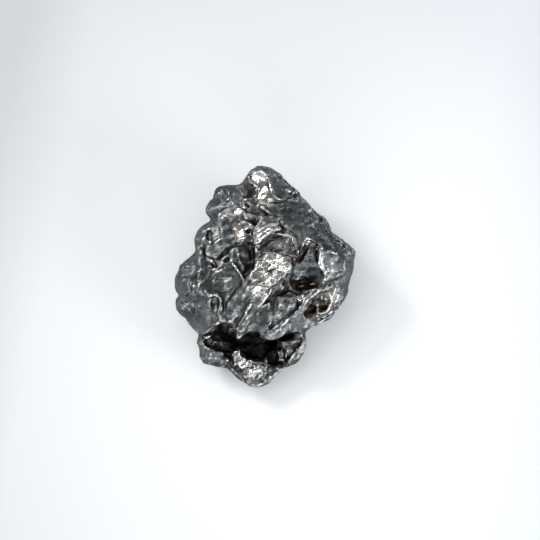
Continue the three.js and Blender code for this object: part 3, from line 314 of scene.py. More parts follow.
# Places on the face that are rougher than the rest: u, v, radius, strength
ROUGH_PLACES = [
  [1.5, 1.2, 2.2, 0.9], [-1.5, -13.5, 2.1, 0.9], [7.9, 9.2, 1.1, 1.2], [4.6, 12.9, 1, 1.2],
  [2.5, 15.1, 0.9, 1.2], [9.7, 7.2, 1.1, 1.2], [11.4, 5.3, 1.1, 1.2], [9, -3.8, 1.9, 1], [2, 4.9, 1.3, 0.7],
  [-7.5, 1, 1.3, 0.6], [-6.3, 12.4, 1.2, 0.8], [5.4, -1, 1.6, 0.8], [-11.5, 0.2, 1.5, 0.7],
  [-6.5, -9.5, 1.8, 0.9], [4, -10.5, 1.5, 0.6], [-12, -4.6, 1, 0.8],
]

# Places where the dark skin is rubbed down to the metal, partly real wear and partly painted highlight,
# brighter than plain iron and lifting the painted shade in hollows: u, v, half length, half width, turn,
# strength
BARE_AND_HIGHLIGHT_PLACES = [
  [-1, 14.8, 1.2, 1, 0, 1], [-0.4, 12, 1.7, 1.1, 110, 1], [1.3, 12.7, 1.3, 0.2, -61, 0.9],
  [0.75, 12.2, 0.9, 0.15, -59, 0.7], [-0.8, 13.6, 1, 0.5, 110, 0.9], [-2.7, 11.3, 0.95, 0.15, -43, 0.9],
  [3.3, 12.8, 0.9, 0.2, -50, 0.6], [-4.8, 9.8, 1.5, 0.8, 0, 1], [-6.2, 9.3, 0.5, 0.4, 0, 0.5],
  [-4.1, 6.5, 1.5, 0.55, 105, 1.1], [-2.5, 7.6, 0.7, 0.3, 10, 0.9], [-0.5, 6.4, 2, 0.6, 42, 1.6],
  [2.2, 6.4, 1.6, 0.3, -15, 0.7], [4.2, 5.2, 1.5, 0.3, -58, 1], [1.8, 5, 1.7, 0.8, -15, 0.55],
  [0.8, 2, 2.4, 1.7, 40, 0.85], [2.6, 1.2, 1.5, 0.7, 30, 0.8], [-0.8, -1.6, 2, 0.6, 49, 1],
  [-0.3, -3.2, 1.3, 0.4, 69, 0.9], [-3, -4.8, 1.5, 0.25, 61, 0.6], [8.4, 1.7, 2.1, 0.35, 98, 0.9],
  [10.2, 1.6, 1.9, 1.6, 0, 0.22], [7.5, 4.7, 0.9, 0.4, -25, 0.8], [10.1, -3, 1, 0.7, 30, 0.75],
  [5.4, -3, 0.8, 0.45, -10, 0.8], [3.2, -6, 2.8, 0.35, 44, 0.5], [-1.4, -13.6, 1.9, 1.7, 0, 0.5],
  [-3.4, -12.6, 0.8, 0.8, 0, 0.8], [-4.3, -11.2, 0.7, 0.7, 0, 0.7], [3.4, -11.4, 1.2, 0.4, 70, 0.7],
  [5.6, -10.6, 1.6, 0.4, 60, 0.6], [-8.6, -8.6, 0.8, 0.6, 30, 0.9], [-4.2, 0.9, 1.3, 0.18, -59, 0.9],
  [-8, 2.4, 1, 0.18, -32, 0.8], [-8.5, 5, 0.8, 0.3, 90, 0.7], [-10.8, -1, 0.8, 0.4, 90, 0.5],
  [-7.6, -2.7, 0.8, 0.2, -10, 0.7], [2.2, 8.9, 0.5, 0.25, 0, 0.8], [3.2, -10.2, 2.2, 1.4, 35, 0.3],
  [-1, 8.9, 0.6, 0.2, 45, 0.7], [6.2, 5.4, 0.5, 0.3, 30, 0.7],
]

# Places with a smooth blue-black skin
DARK_PLACES = [
  [7.2, 0.7, 1.5, 0.9, 15, 1], [6.8, 2.4, 1.5, 1.2, 0, 0.5], [-2.4, 13.2, 0.7, 0.8, 20, 0.9],
  [-2.6, 11.9, 0.9, 0.8, 0, 0.7], [-3.8, 4.9, 1.7, 0.5, 10, 0.9], [-2.5, 6.7, 1, 0.6, 90, 0.6],
  [-3.2, -3.9, 0.5, 1.2, -25, 0.8], [4.7, 4.3, 0.9, 0.4, 20, 0.8], [-6, 12, 1.6, 1.6, 0, 0.45],
  [-0.4, -7, 0.6, 1.3, -15, 0.6], [0.6, 0.9, 1.1, 0.2, 15, 0.8], [3.4, -5.4, 1.8, 0.5, 45, 0.6],
  [-8.6, -7, 1.4, 1, -45, 0.35], [-6, 3.9, 1.5, 0.3, 40, 0.7], [1.4, -2.2, 1.4, 0.3, 60, 0.7],
  [-12, 1.2, 1.2, 2, 0, 0.4], [-1.8, 3.2, 2, 0.4, 90, 0.6], [9, 6.6, 2.6, 0.5, -45, 0.5],
  [5.1, 3.3, 1.9, 0.5, 52, 1], [8.7, 4.6, 2.4, 0.4, -22, 0.6], [-11.6, -5.4, 1, 0.9, 0, 0.6],
  [3.6, -9.9, 1.8, 1.3, 30, 0.35], [1.7, 13.4, 1.6, 0.8, -60, 0.35], [2, 12.1, 1.1, 0.3, -35, 0.7],
  [0.1, 10.1, 1, 0.3, -35, 0.7], [-9.6, 1.6, 1.9, 0.8, 90, 0.3], [10.4, 1.6, 1.7, 1.5, 0, 0.3],
]

# Places where rust and dirt stay in the channels
STAIN_PLACES = [
  [5, 3, 1.5, 0.6, 45, 1], [5, -0.9, 2.4, 0.9, 12, 0.75], [2.8, -2, 2.2, 0.45, 20, 1],
  [7.9, -4.2, 2.5, 1.4, 32, 0.85], [-3.2, 3.6, 1, 1.5, 0, 0.4], [-2.9, 12.6, 0.9, 1.3, 20, 0.6],
  [2.2, 5.4, 1.6, 0.6, -10, 0.5], [0, -0.7, 1.5, 0.4, 10, 0.6], [-1.5, -15.4, 2, 0.6, 0, 0.5],
  [3, -12.4, 1.2, 0.6, 40, 0.7], [-7.3, -9, 1.6, 1.2, 0, 0.7], [-7.7, -4, 0.8, 1.1, 0, 0.45],
  [-5, -13.4, 1.6, 0.5, -30, 0.6], [10.5, -1.6, 1.8, 0.4, 25, 0.6],
]

SIN = math.sin(math.radians(TILT_DEG))
COS = math.cos(math.radians(TILT_DEG))
# The way out of the face, in the row frame
FACE_AXIS = (0, -COS, SIN)
ADDS = {"lump", "block", "ridge", "plate"}

# The pebble's widest ring: level, rise up the face, lean to the right, and how far it waves
RING = (-0.3, 0.09, 0.02, 0.5)
# How the coordinates are bent: width, length of the waves, seed, octaves
BENDS = [(0.3, 4.2, 11, 1), (0.1, 1.3, 21, 2)]
# Thumb prints: width, height, mean of the bowls, seed, and strength all over, on rough places and on flanks
PRINTS = [
    (5.2, 1.25, 0.42, 3, (0, 0, 1)),
    (2.3, 0.6, 0.4, 17, (0.1, 0.6, 0.3)),
    (0.95, 0.5, 0.4, 29, (0.06, 0.45, 0.1)),
]
PRINT_BEND = 2.2
# Fine folds along the flow of the iron, with their heights on calm places and on rough ones
FLOW_COS = math.cos(math.radians(52))
FLOW_SIN = math.sin(math.radians(52))
FOLD_LENGTH = 1.5
FOLD_HEIGHT = 0.0198
ROUGH_FOLD_HEIGHT = 0.0765
FOLD_STEEPNESS = 2.4
FOLD_SEED = 41
# Above the floor, the relief grows to its full height over this distance
CALM_HEIGHT = 2.0
# How uneven the edges of the patches are, and how fast they fade
PATCH_BEND = 0.9
PATCH_FADE = 0.6
PATCH_EDGE = 1.4
# Where the flanks begin, for the relief and for the painted shade on the lower flanks: level and blend
FLANK = (-0.4, 0.7)
FLANK_SHADE = (0.6, 0.5)
# Distances at which hidden places are felt for, for the painted shade in hollows, and how far a bright edge
# stands out
DEPTH_REACHES = (0.4, 0.9, 1.8, 3.2)
SHARP_HEIGHT = 0.04

# Patterns of the iron: scales per metre, turn and stretch of the streaks, height of the bumps
CLOUD_SCALE = 420
SPECK_SCALE = 1500
STREAK_SCALE = 1350
GRAIN_SCALE = 3600
STREAK_DEG = -50
STREAK_STRETCH = 0.3
BUMP_HEIGHT = 0.28 * MM
# What the sculpture hands to the finish, point by point
LAYERS = ("depth", "sharp", "flank", "rough", "bare", "dark", "stain")
# What every setting for a colour has, and every one for a light's power
COLOR = {"size": 3, "min": 0, "max": 1, "subtype": "COLOR"}
POWER = {"min": 0, "subtype": "POWER"}
# Sockets of a colour mix
COLOR_A, COLOR_B, COLOR_OUT = 6, 7, 2

# Lights: place and size in metres, colour
LIGHTS = {
    "over": ((-0.08, 0.0, 0.28), (0.24, 0.24), (1, 1, 1)),
    "key": ((-0.15, 0.09, 0.19), (0.075, 0.06), (1, 0.99, 0.97)),
    "side": ((0.19, -0.11, 0.11), (0.11, 0.09), (0.93, 0.97, 1)),
    "front": ((-0.02, -0.20, 0.12), (0.22, 0.09), (1, 1, 1)),
}
# Tones of the sky, from level with the face to straight above it
SKY_TONES = [(0.05, (0.75, 0.78, 0.82)), (0.95, (0.25, 0.26, 0.27)), (0.5, (1.0, 1.02, 1.05)),
             (0.8, (0.42, 0.43, 0.45))]
FLOOR_SIZE = 4.0
# Painted light on the floor: tones across the picture, darker to the left and paler to the right, and
# outwards from the stone, paler round it to lift its shadow, over these distances in metres
ACROSS_WIDTH = 0.09
ACROSS_LEAN = -0.15
PAINTED_FALLOFF_TONES = [(0.0, 0.71), (1.0, 0.99), (0.12, 0.85), (0.5, 0.94), (0.85, 1.04)]
NEAR_REACH = 0.06
PAINTED_POOL_TONES = [(0.3, (1.06, 1.05, 1.04)), (0.95, (0.86, 0.87, 0.88))]
SENSOR_WIDTH = 36


def blend(a, b, k):
    """Smooth union of two depths, with a blend of width k."""
    h = np.clip(0.5 + 0.5 * (b - a) / k, 0, 1)
    return b + (a - b) * h - k * h * (1 - h)


def carve(a, b, k):
    """Takes b out of a, with a blend of width k."""
    return -blend(-a, b, k)


def closed_curve(points, steps=6):
    """A smooth closed curve through the points."""
    p1 = np.array(points, float)
    p0, p2, p3 = np.roll(p1, 1, 0), np.roll(p1, -1, 0), np.roll(p1, -2, 0)
    t = (np.arange(steps) / steps)[None, :, None]
    p0, p1, p2, p3 = (p[:, None, :] for p in (p0, p1, p2, p3))
    square = 2 * p0 - 5 * p1 + 4 * p2 - p3
    cube = 3 * p1 - p0 - 3 * p2 + p3
    return 0.5 * (2 * p1 + (p2 - p0) * t + square * t**2 + cube * t**3).reshape(-1, 2)


def inside_depth(u, v, points):
    """Distance to the closed curve, positive inside it."""
    curve = closed_curve(points)
    shape = np.broadcast(u, v).shape
    best = np.full(shape, 1e9)
    inside = np.zeros(shape, bool)
    for (ax, ay), (bx, by) in zip(curve, np.roll(curve, -1, 0)):
        dx, dy = bx - ax, by - ay
        t = np.clip(((u - ax) * dx + (v - ay) * dy) / (dx * dx + dy * dy + 1e-12), 0, 1)
        best = np.minimum(best, (u - ax - t * dx) ** 2 + (v - ay - t * dy) ** 2)
        inside ^= ((ay > v) != (by > v)) & (u < (bx - ax) * (v - ay) / (by - ay + 1e-12) + ax)
    depth = np.sqrt(best)
    return np.where(inside, depth, -depth).astype(np.float32)


def waves(u, v, w, length, seed, octaves=1):
    """A sum of sine waves in scattered directions."""
    total = 0
    size = 1.0
    for octave in range(octaves):
        for i in range(4):
            n = seed * 7.31 + octave * 4 + i + 1
            z = 1 - 2 * ((n * 0.618034) % 1)
            a = 2.399963 * n
            r = math.sqrt(1 - z * z)
            along = u * (r * math.cos(a)) + v * (r * math.sin(a)) + w * z
            total = total + size * np.sin(along * (2 * math.pi / length) + 1.7 * n)
        length *= 0.53
        size *= 0.5
    return total / 4


def bend(u, v, w):
    """How far the coordinates are bent, so that no form is regular."""
    return [
        sum(width * waves(u, v, w, length, seed + i, octaves) for width, length, seed, octaves in BENDS)
        for i in range(3)
    ]


def scatter(i, j, k, n):
    """Scattered numbers from 0 to 1."""
    x = np.sin(i * 12.9898 + j * 78.233 + k * 37.719 + n * 4.1414) * 43758.5453
    return x - np.floor(x)


def bowls(p, width, seed):
    """Squared distance to the nearest of scattered points: shallow bowls with sharp rims between them."""
    q = [x / width for x in p]
    cell = [np.floor(x) for x in q]
    best = np.full(np.shape(q[0]), 9.0)
    for step in np.ndindex(3, 3, 3):
        at = [cell[m] + step[m] - 1 for m in range(3)]
        d = [at[m] + 0.15 + 0.7 * scatter(*at, seed + m) - q[m] for m in range(3)]
        best = np.minimum(best, d[0] ** 2 + d[1] ** 2 + d[2] ** 2)
    return best


def turned(form):
    """The turned axes of a form, as rows."""
    a, b, c = (math.radians(form.get(name, 0)) for name in ("turn", "dip", "lean"))
    m = Matrix.Rotation(a, 3, "Z") @ Matrix.Rotation(b, 3, "Y") @ Matrix.Rotation(c, 3, "X")
    return [m.col[i] for i in range(3)]


class Stone:
    """The stone's field on a regular grid: negative inside, in millimetres."""

    def __init__(self, step):
        self.step = step
        ends = zip(LOW_CORNER, HIGH_CORNER)
        self.axes = [np.arange(low, high + step / 2, step).astype(np.float32) for low, high in ends]
        u, v, w = self.points((slice(None),) * 3)
        self.bent = [x.astype(np.float32) for x in bend(u, v, w)]
        self.f = self.pebble(u, v, w)

    def points(self, window):
        return np.meshgrid(*(self.axes[i][window[i]] for i in range(3)), indexing="ij", sparse=True)

    def pebble(self, u, v, w):
        """The plain pebble: outline, widest ring, rounded top and underside."""
        depth = inside_depth(u[:, :, 0], v[:, :, 0], OUTLINE)[:, :, None]
        level, climb, lean, wave = RING
        ring = level + climb * v + lean * u + wave * np.sin(0.45 * u + 1) * np.cos(0.38 * v)
        low = ring - (FLAT_LEVEL - BELLY - COS * v) / SIN
        up = w > ring
        reach = np.where(up, TOP_SHOULDER, FLANK_SHOULDER)
        high = np.where(up, TOP_HEIGHT - ring, low)
        n = np.where(up, ROUNDNESS, UNDER_ROUNDNESS)
        q = np.abs(w - ring) / high
        s = np.maximum(1 - depth / reach, 0)
        k0 = (s**n + q**n) ** (1 / n)
        k1 = np.hypot(s / reach, q / high) / np.maximum(k0, 1e-3) + 1e-6
        return np.minimum((k0 - 1) / k1, 6).astype(np.float32)

    def face(self, u, v):
        """Height of the face over (u, v) in the stone made so far."""
        i = int(round((u - self.axes[0][0]) / self.step))
        j = int(round((v - self.axes[1][0]) / self.step))
        column = self.f[i, j]
        inside = np.nonzero(column < 0)[0]
        if not len(inside):
            return 0.0
        k = inside[-1]
        return float(self.axes[2][k] + self.step * column[k] / (column[k] - column[k + 1]))

    def add(self, form):
        """Blends one form into the field, within the box that it reaches."""
        form = dict(form)
        if form.get("on_face"):
            u, v, w = form["at"]
            form["at"] = [u, v, self.face(u, v) + w]
        if "line" in form:
            form["line"] = [[u, v, self.face(u, v) + sum(w), r] for u, v, *w, r in form["line"]]
            line = np.array(form["line"])
            low = (line[:, :3] - line[:, 3:]).min(0)
            high = (line[:, :3] + line[:, 3:]).max(0)
        elif "edge" in form:
            edge = np.array(form["edge"])
            low = np.append(edge.min(0), self.axes[2][0])
            high = np.append(edge.max(0), self.axes[2][-1])
        else:
            r = np.linalg.norm(form["size"]) if form["form"] in ("block", "notch") else max(form["size"])
            low, high = np.array(form["at"]) - r, np.array(form["at"]) + r
        pad = form["k"] + 1.2
        window = tuple(
            slice(int(np.searchsorted(x, low[i] - pad)), int(np.searchsorted(x, high[i] + pad)))
            for i, x in enumerate(self.axes)
        )
        p = [x + self.bent[i][window] for i, x in enumerate(self.points(window))]
        g = self.depth_in(form, p)
        join = blend if form["form"] in ADDS else carve
        self.f[window] = join(self.f[window], g, CRISPNESS * form["k"])

    def depth_in(self, form, p):
        """Depth of points in one form, negative inside it."""
        if "line" in form:
            best = None
            for a, b in zip(form["line"], form["line"][1:]):
                ab = [b[i] - a[i] for i in range(3)]
                along = sum((p[i] - a[i]) * ab[i] for i in range(3))
                t = np.clip(along / sum(x * x for x in ab), 0, 1)
                d = np.sqrt(sum((p[i] - a[i] - t * ab[i]) ** 2 for i in range(3)))
                d = d - (a[3] + t * (b[3] - a[3]))
                best = d if best is None else np.minimum(best, d)
            return best
        if "edge" in form:
            out = self.beside(form["edge"], p[0], p[1])
            su, sv = form["slope"]
            level = form["at"][2] + su * (p[0] - form["at"][0]) + sv * (p[1] - form["at"][1])
            over = (p[2] - level) / math.sqrt(1 + su * su + sv * sv)
            if form["form"] == "hollow":
                return carve(out, over, CRISPNESS * form["soft"])
            return np.maximum(carve(out, -over, CRISPNESS * form["soft"]), -over - PLATE_THICKNESS)
        rows = turned(form)
        d = [p[i] - form["at"][i] for i in range(3)]
        q = [row[0] * d[0] + row[1] * d[1] + row[2] * d[2] for row in rows]
        size = form["size"]
        if form["form"] in ("block", "notch"):
            rounding = form.get("rounding", 0.4)
            e = [np.abs(q[i]) - (size[i] - rounding) for i in range(3)]
            out = np.sqrt(sum(np.maximum(x, 0) ** 2 for x in e))
            return out + np.minimum(np.maximum(np.maximum(e[0], e[1]), e[2]), 0) - rounding
        k0 = np.sqrt(sum((q[i] / size[i]) ** 2 for i in range(3)))
        k1 = np.sqrt(sum((q[i] / size[i] ** 2) ** 2 for i in range(3))) + 1e-6
        return k0 * (k0 - 1) / k1

    def beside(self, edge, u, v):
        """Distance to an edge curve, negative inside it, read from a fine table of it."""
        step = 0.12
        low = np.array(edge).min(0) - 3
        high = np.array(edge).max(0) + 3
        gu, gv = np.arange(low[0], high[0], step), np.arange(low[1], high[1], step)
        table = -inside_depth(gu[:, None], gv[None, :], edge)
        a = np.clip((u - low[0]) / step, 0, len(gu) - 1.001)
        b = np.clip((v - low[1]) / step, 0, len(gv) - 1.001)
        i, j = a.astype(int), b.astype(int)
        s, t = (a - i).astype(np.float32), (b - j).astype(np.float32)
        near = table[i, j] * (1 - s) + table[i + 1, j] * s
        far = table[i, j + 1] * (1 - s) + table[i + 1, j + 1] * s
        return near * (1 - t) + far * t

    def read(self, q):
        """The field at any points, an array with one row each."""
        g = [(q[:, i] - self.axes[i][0]) / self.step for i in range(3)]
        i = [np.clip(x, 0, self.f.shape[m] - 1.001).astype(int) for m, x in enumerate(g)]
        t = [np.clip(g[m] - i[m], 0, 1) for m in range(3)]
        total = 0
        for a, b, c in np.ndindex(2, 2, 2):
            share = (t[0] if a else 1 - t[0]) * (t[1] if b else 1 - t[1]) * (t[2] if c else 1 - t[2])
            total = total + share * self.f[i[0] + a, i[1] + b, i[2] + c]
        return total

    def skin(self):
        """Points and four-sided faces of the surface: one point in each cell that it crosses."""
        inside = self.f < 0
        n = inside.shape
        corners = list(np.ndindex(2, 2, 2))
        count = sum(
            inside[a:n[0] - 1 + a, b:n[1] - 1 + b, c:n[2] - 1 + c].astype(np.int8) for a, b, c in corners
        )
        cells = np.nonzero((count > 0) & (count < 8))
        index = np.full(count.shape, -1, np.int64)
        index[cells] = np.arange(len(cells[0]))
        total = np.zeros((len(cells[0]), 3))
        crossed = np.zeros(len(cells[0]))
        for axis in range(3):
            for start in corners:
                if start[axis]:
                    continue
                end = [start[m] + (m == axis) for m in range(3)]
                a = self.f[tuple(cells[m] + start[m] for m in range(3))]
                b = self.f[tuple(cells[m] + end[m] for m in range(3))]
                cut = (a < 0) != (b < 0)
                t = np.where(cut, a / np.where(cut, a - b, 1), 0)
                for m in range(3):
                    total[cut, m] += start[m] + (t[cut] if m == axis else 0)
                crossed[cut] += 1
        low = np.array([x[0] for x in self.axes])
        points = low + self.step * (np.stack(cells, 1) + total / crossed[:, None])
        faces = []
        for axis in range(3):
            o1, o2 = ((1, 2), (2, 0), (0, 1))[axis]
            a, b = np.delete(inside, -1, axis), np.delete(inside, 0, axis)
            e = np.array(np.nonzero(a != b))
            e = e[:, (e[o1] > 0) & (e[o2] > 0)]
            outward = a[tuple(e)]
            quad = []
            for d1, d2 in ((0, 0), (1, 0), (1, 1), (0, 1)):
                c = e.copy()
                c[o1] -= d1
                c[o2] -= d2
                quad.append(index[tuple(c)])
            quad = np.stack(quad, 1)
            quad[~outward] = quad[~outward][:, ::-1]
            faces.append(quad)
        return points, np.concatenate(faces)


def face_normals(points, faces):
    """Outward direction at each point, from the faces around it."""
    n = np.cross(points[faces[:, 2]] - points[faces[:, 0]], points[faces[:, 3]] - points[faces[:, 1]])
    total = np.zeros_like(points)
    for corner in range(4):
        np.add.at(total, faces[:, corner], n)
    return total / (np.linalg.norm(total, axis=1, keepdims=True) + 1e-12)


def roughness(points):
    """How rough the stone is at points of it, from 0 to about 1."""
    u, v, _ = points.T
    rough = np.zeros(len(u))
    for a, c, r, s in ROUGH_PLACES:
        rough = np.maximum(rough, s * np.exp(-((u - a) ** 2 + (v - c) ** 2) / (2 * r * r)))
    return rough


def below(v, w, level, width):
    """How far points lie on the flanks, below a level of the face, from 0 to 1."""
    return 1 / (1 + np.exp((w - level - 0.05 * v) / width))


def relief(points):
    """How far the thumb prints and the finer folds push the surface in or out."""
    u, v, w = points.T
    p = [x + PRINT_BEND * b for x, b in zip((u, v, w), bend(u, v, w))]
    flank = below(v, w, *FLANK)
    rough = roughness(points) * (1 - 0.7 * flank)
    push = 0
    for width, height, mean, seed, (open_share, rough_share, flank_share) in PRINTS:
        share = open_share + rough_share * rough + flank_share * flank
        push = push + height * share * (bowls(p, width, seed) - mean)
    flow = [0.5 * (p[0] * FLOW_COS + p[1] * FLOW_SIN), p[1] * FLOW_COS - p[0] * FLOW_SIN, p[2]]
    fold = np.clip(1 - FOLD_STEEPNESS * np.abs(waves(*flow, FOLD_LENGTH, FOLD_SEED, 2)), -1, 1)
    push = push + (FOLD_HEIGHT + ROUGH_FOLD_HEIGHT * rough) * fold
    calm = np.clip((COS * v + SIN * w - FLAT_LEVEL) / CALM_HEIGHT, 0.1, 1)
    return calm * push


def patches(points, normals, places):
    """How far points on the face lie in a list of oval places, from 0 to 1, with uneven edges."""
    u, v, w = points.T
    b = bend(u, v, w)
    u, v = u + PATCH_BEND * b[0], v + PATCH_BEND * b[1]
    total = np.zeros(len(u))
    for a, c, length, width, turn, strength in places:
        cos, sin = math.cos(math.radians(turn)), math.sin(math.radians(turn))
        x = ((u - a) * cos + (v - c) * sin) / length
        y = ((v - c) * cos - (u - a) * sin) / width
        total = np.maximum(total, strength * np.exp(-PATCH_FADE * (x * x + y * y) ** PATCH_EDGE))
    return total * np.clip(0.5 + 1.5 * normals[:, 2], 0, 1)


def spread(points, faces, values, turns):
    """Evens out values over neighbouring points."""
    for _ in range(turns):
        total = np.zeros(len(points))
        count = np.zeros(len(points))
        for corner in range(4):
            for other in (corner - 1, (corner + 1) % 4):
                np.add.at(total, faces[:, corner], values[faces[:, other]])
                np.add.at(count, faces[:, corner], 1)
        values = 0.5 * values + 0.5 * total / np.maximum(count, 1)
    return values


def feed(tree, value, socket):
    """Links a socket to another node's output, or sets it to a number or a colour."""
    if isinstance(value, bpy.types.NodeSocket):
        tree.links.new(value, socket)
    elif isinstance(value, (int, float)):
        socket.default_value = value
    else:
        socket.default_value = (*value, 1.0)


def material(name):
    made = bpy.data.materials.new(name)
    made.use_nodes = True
    tree = made.node_tree
    return made, tree, tree.nodes["Principled BSDF"]


def node(tree, kind, **values):
    made = tree.nodes.new(kind)
    for name, value in values.items():
        setattr(made, name, value)
    return made


def noise(tree, coordinates, scale, detail, roughness=0.5, distortion=0.0):
    made = node(tree, "ShaderNodeTexNoise")
    feed(tree, coordinates, made.inputs["Vector"])
    settings = {"Scale": scale, "Detail": detail, "Roughness": roughness, "Distortion": distortion}
    for name, value in settings.items():
        made.inputs[name].default_value = value
    return made.outputs["Fac"]


def ramp(tree, value, stops):
    """Colours by value. The first two stops are those at the ends."""
    made = node(tree, "ShaderNodeValToRGB")
    for i, (position, color) in enumerate(stops):
        stop = made.color_ramp.elements[i] if i < 2 else made.color_ramp.elements.new(position)
        stop.position = position
        stop.color = (*color, 1.0)
    feed(tree, value, made.inputs["Fac"])
    return made.outputs["Color"]


def rise(tree, value, low, high, top=1.0):
    """From 0 where the value is low to the top where it is high."""
    return ramp(tree, value, [(low, (0, 0, 0)), (high, (top, top, top))])


def mix(tree, factor, a, b, way="MIX"):
    made = node(tree, "ShaderNodeMix", data_type="RGBA", blend_type=way)
    feed(tree, factor, made.inputs["Factor"])
    feed(tree, a, made.inputs[COLOR_A])
    feed(tree, b, made.inputs[COLOR_B])
    return made.outputs[COLOR_OUT]


def arithmetic(tree, operation, a, b):
    made = node(tree, "ShaderNodeMath", operation=operation)
    feed(tree, a, made.inputs[0])
    feed(tree, b, made.inputs[1])
    return made.outputs[0]


def plus(tree, a, b, share=1.0):
    """The first value and a share of the second."""
    return arithmetic(tree, "ADD", a, arithmetic(tree, "MULTIPLY", b, share))


def dot(tree, coordinates, direction):
    """How far coordinates lie along a direction."""
    made = node(tree, "ShaderNodeVectorMath", operation="DOT_PRODUCT")
    feed(tree, coordinates, made.inputs[0])
    made.inputs[1].default_value = direction
    return made.outputs["Value"]


def dimmed(color, share):
    return tuple(share * c for c in color)


def upright(u, v, w):
    """From the frame of the face, in millimetres, to metres standing on the floor."""
    return u * MM, (SIN * v - COS * w) * MM, (COS * v + SIN * w - FLAT_LEVEL) * MM


class StoneSettings(bpy.types.PropertyGroup):
    """Sizes and colours of the stone"""

    step: FloatProperty(
        name="Step", description="Spacing of the sculpted surface's points", default=0.205 * MM,
        min=0.1 * MM, max=2 * MM, precision=5, unit="LENGTH")
    iron: FloatVectorProperty(
        name="Iron", description="Colour of the open surface", default=(0.152, 0.162, 0.165), **COLOR)
    edge: FloatVectorProperty(
        name="Rubbed edge", description="Colour of the rubbed edges", default=(0.60, 0.60, 0.585), **COLOR)
    # Partly rubbed metal, partly painted highlight: brighter than plain iron
    bare: FloatVectorProperty(
        name="Bare metal", description="Colour where the dark skin is gone",
        default=(0.82, 0.78, 0.73), **COLOR)
    skin: FloatVectorProperty(
        name="Dark skin", description="Colour of the smooth blue-black skin",
        default=(0.045, 0.052, 0.062), **COLOR)
    stain: FloatVectorProperty(
        name="Stain", description="Colour of the rust left in the channels",
        default=(0.10, 0.075, 0.054), **COLOR)
    # Partly the dark oxide of the hollows, partly painted shade in creases and hollows
    crevice_oxide_and_shade: FloatVectorProperty(
        name="Crevice", description="Colour deep in the crevices", default=(0.018, 0.014, 0.011), **COLOR)
    roughness: FloatProperty(
        name="Roughness", description="Mean roughness of the iron",
        default=0.37, min=0, max=1, subtype="FACTOR")


class StageSettings(bpy.types.PropertyGroup):
    """Floor, lights and camera"""

    floor: FloatVectorProperty(
        name="Floor", description="Colour of the surface below", default=(0.80, 0.825, 0.845), **COLOR)
    key: FloatProperty(
        name="Key light", description="Power of the light from the upper left", default=0.26, **POWER)
    side: FloatProperty(
        name="Side light", description="Power of the light from the right", default=0.24, **POWER)
    front: FloatProperty(
        name="Front light", description="Power of the light from the front", default=0.22, **POWER)
    over: FloatProperty(
        name="Overhead light", description="Power of the light above, which the iron does not mirror",
        default=0.33, **POWER)
    sky: FloatProperty(name="Sky", description="Strength of the light from all round", default=0.66, min=0)
    distance: FloatProperty(
        name="Camera distance", description="From the stone to the camera",
        default=0.33, min=0.05, unit="LENGTH")
    move: FloatVectorProperty(
        name="Move", description="From the frame of the face to the middle of the footprint",
        default=(0.0, 0.0), size=2, unit="LENGTH")
    width: FloatProperty(
        name="Picture width", description="Width seen at the stone", default=81 * MM, min=0.01, unit="LENGTH")


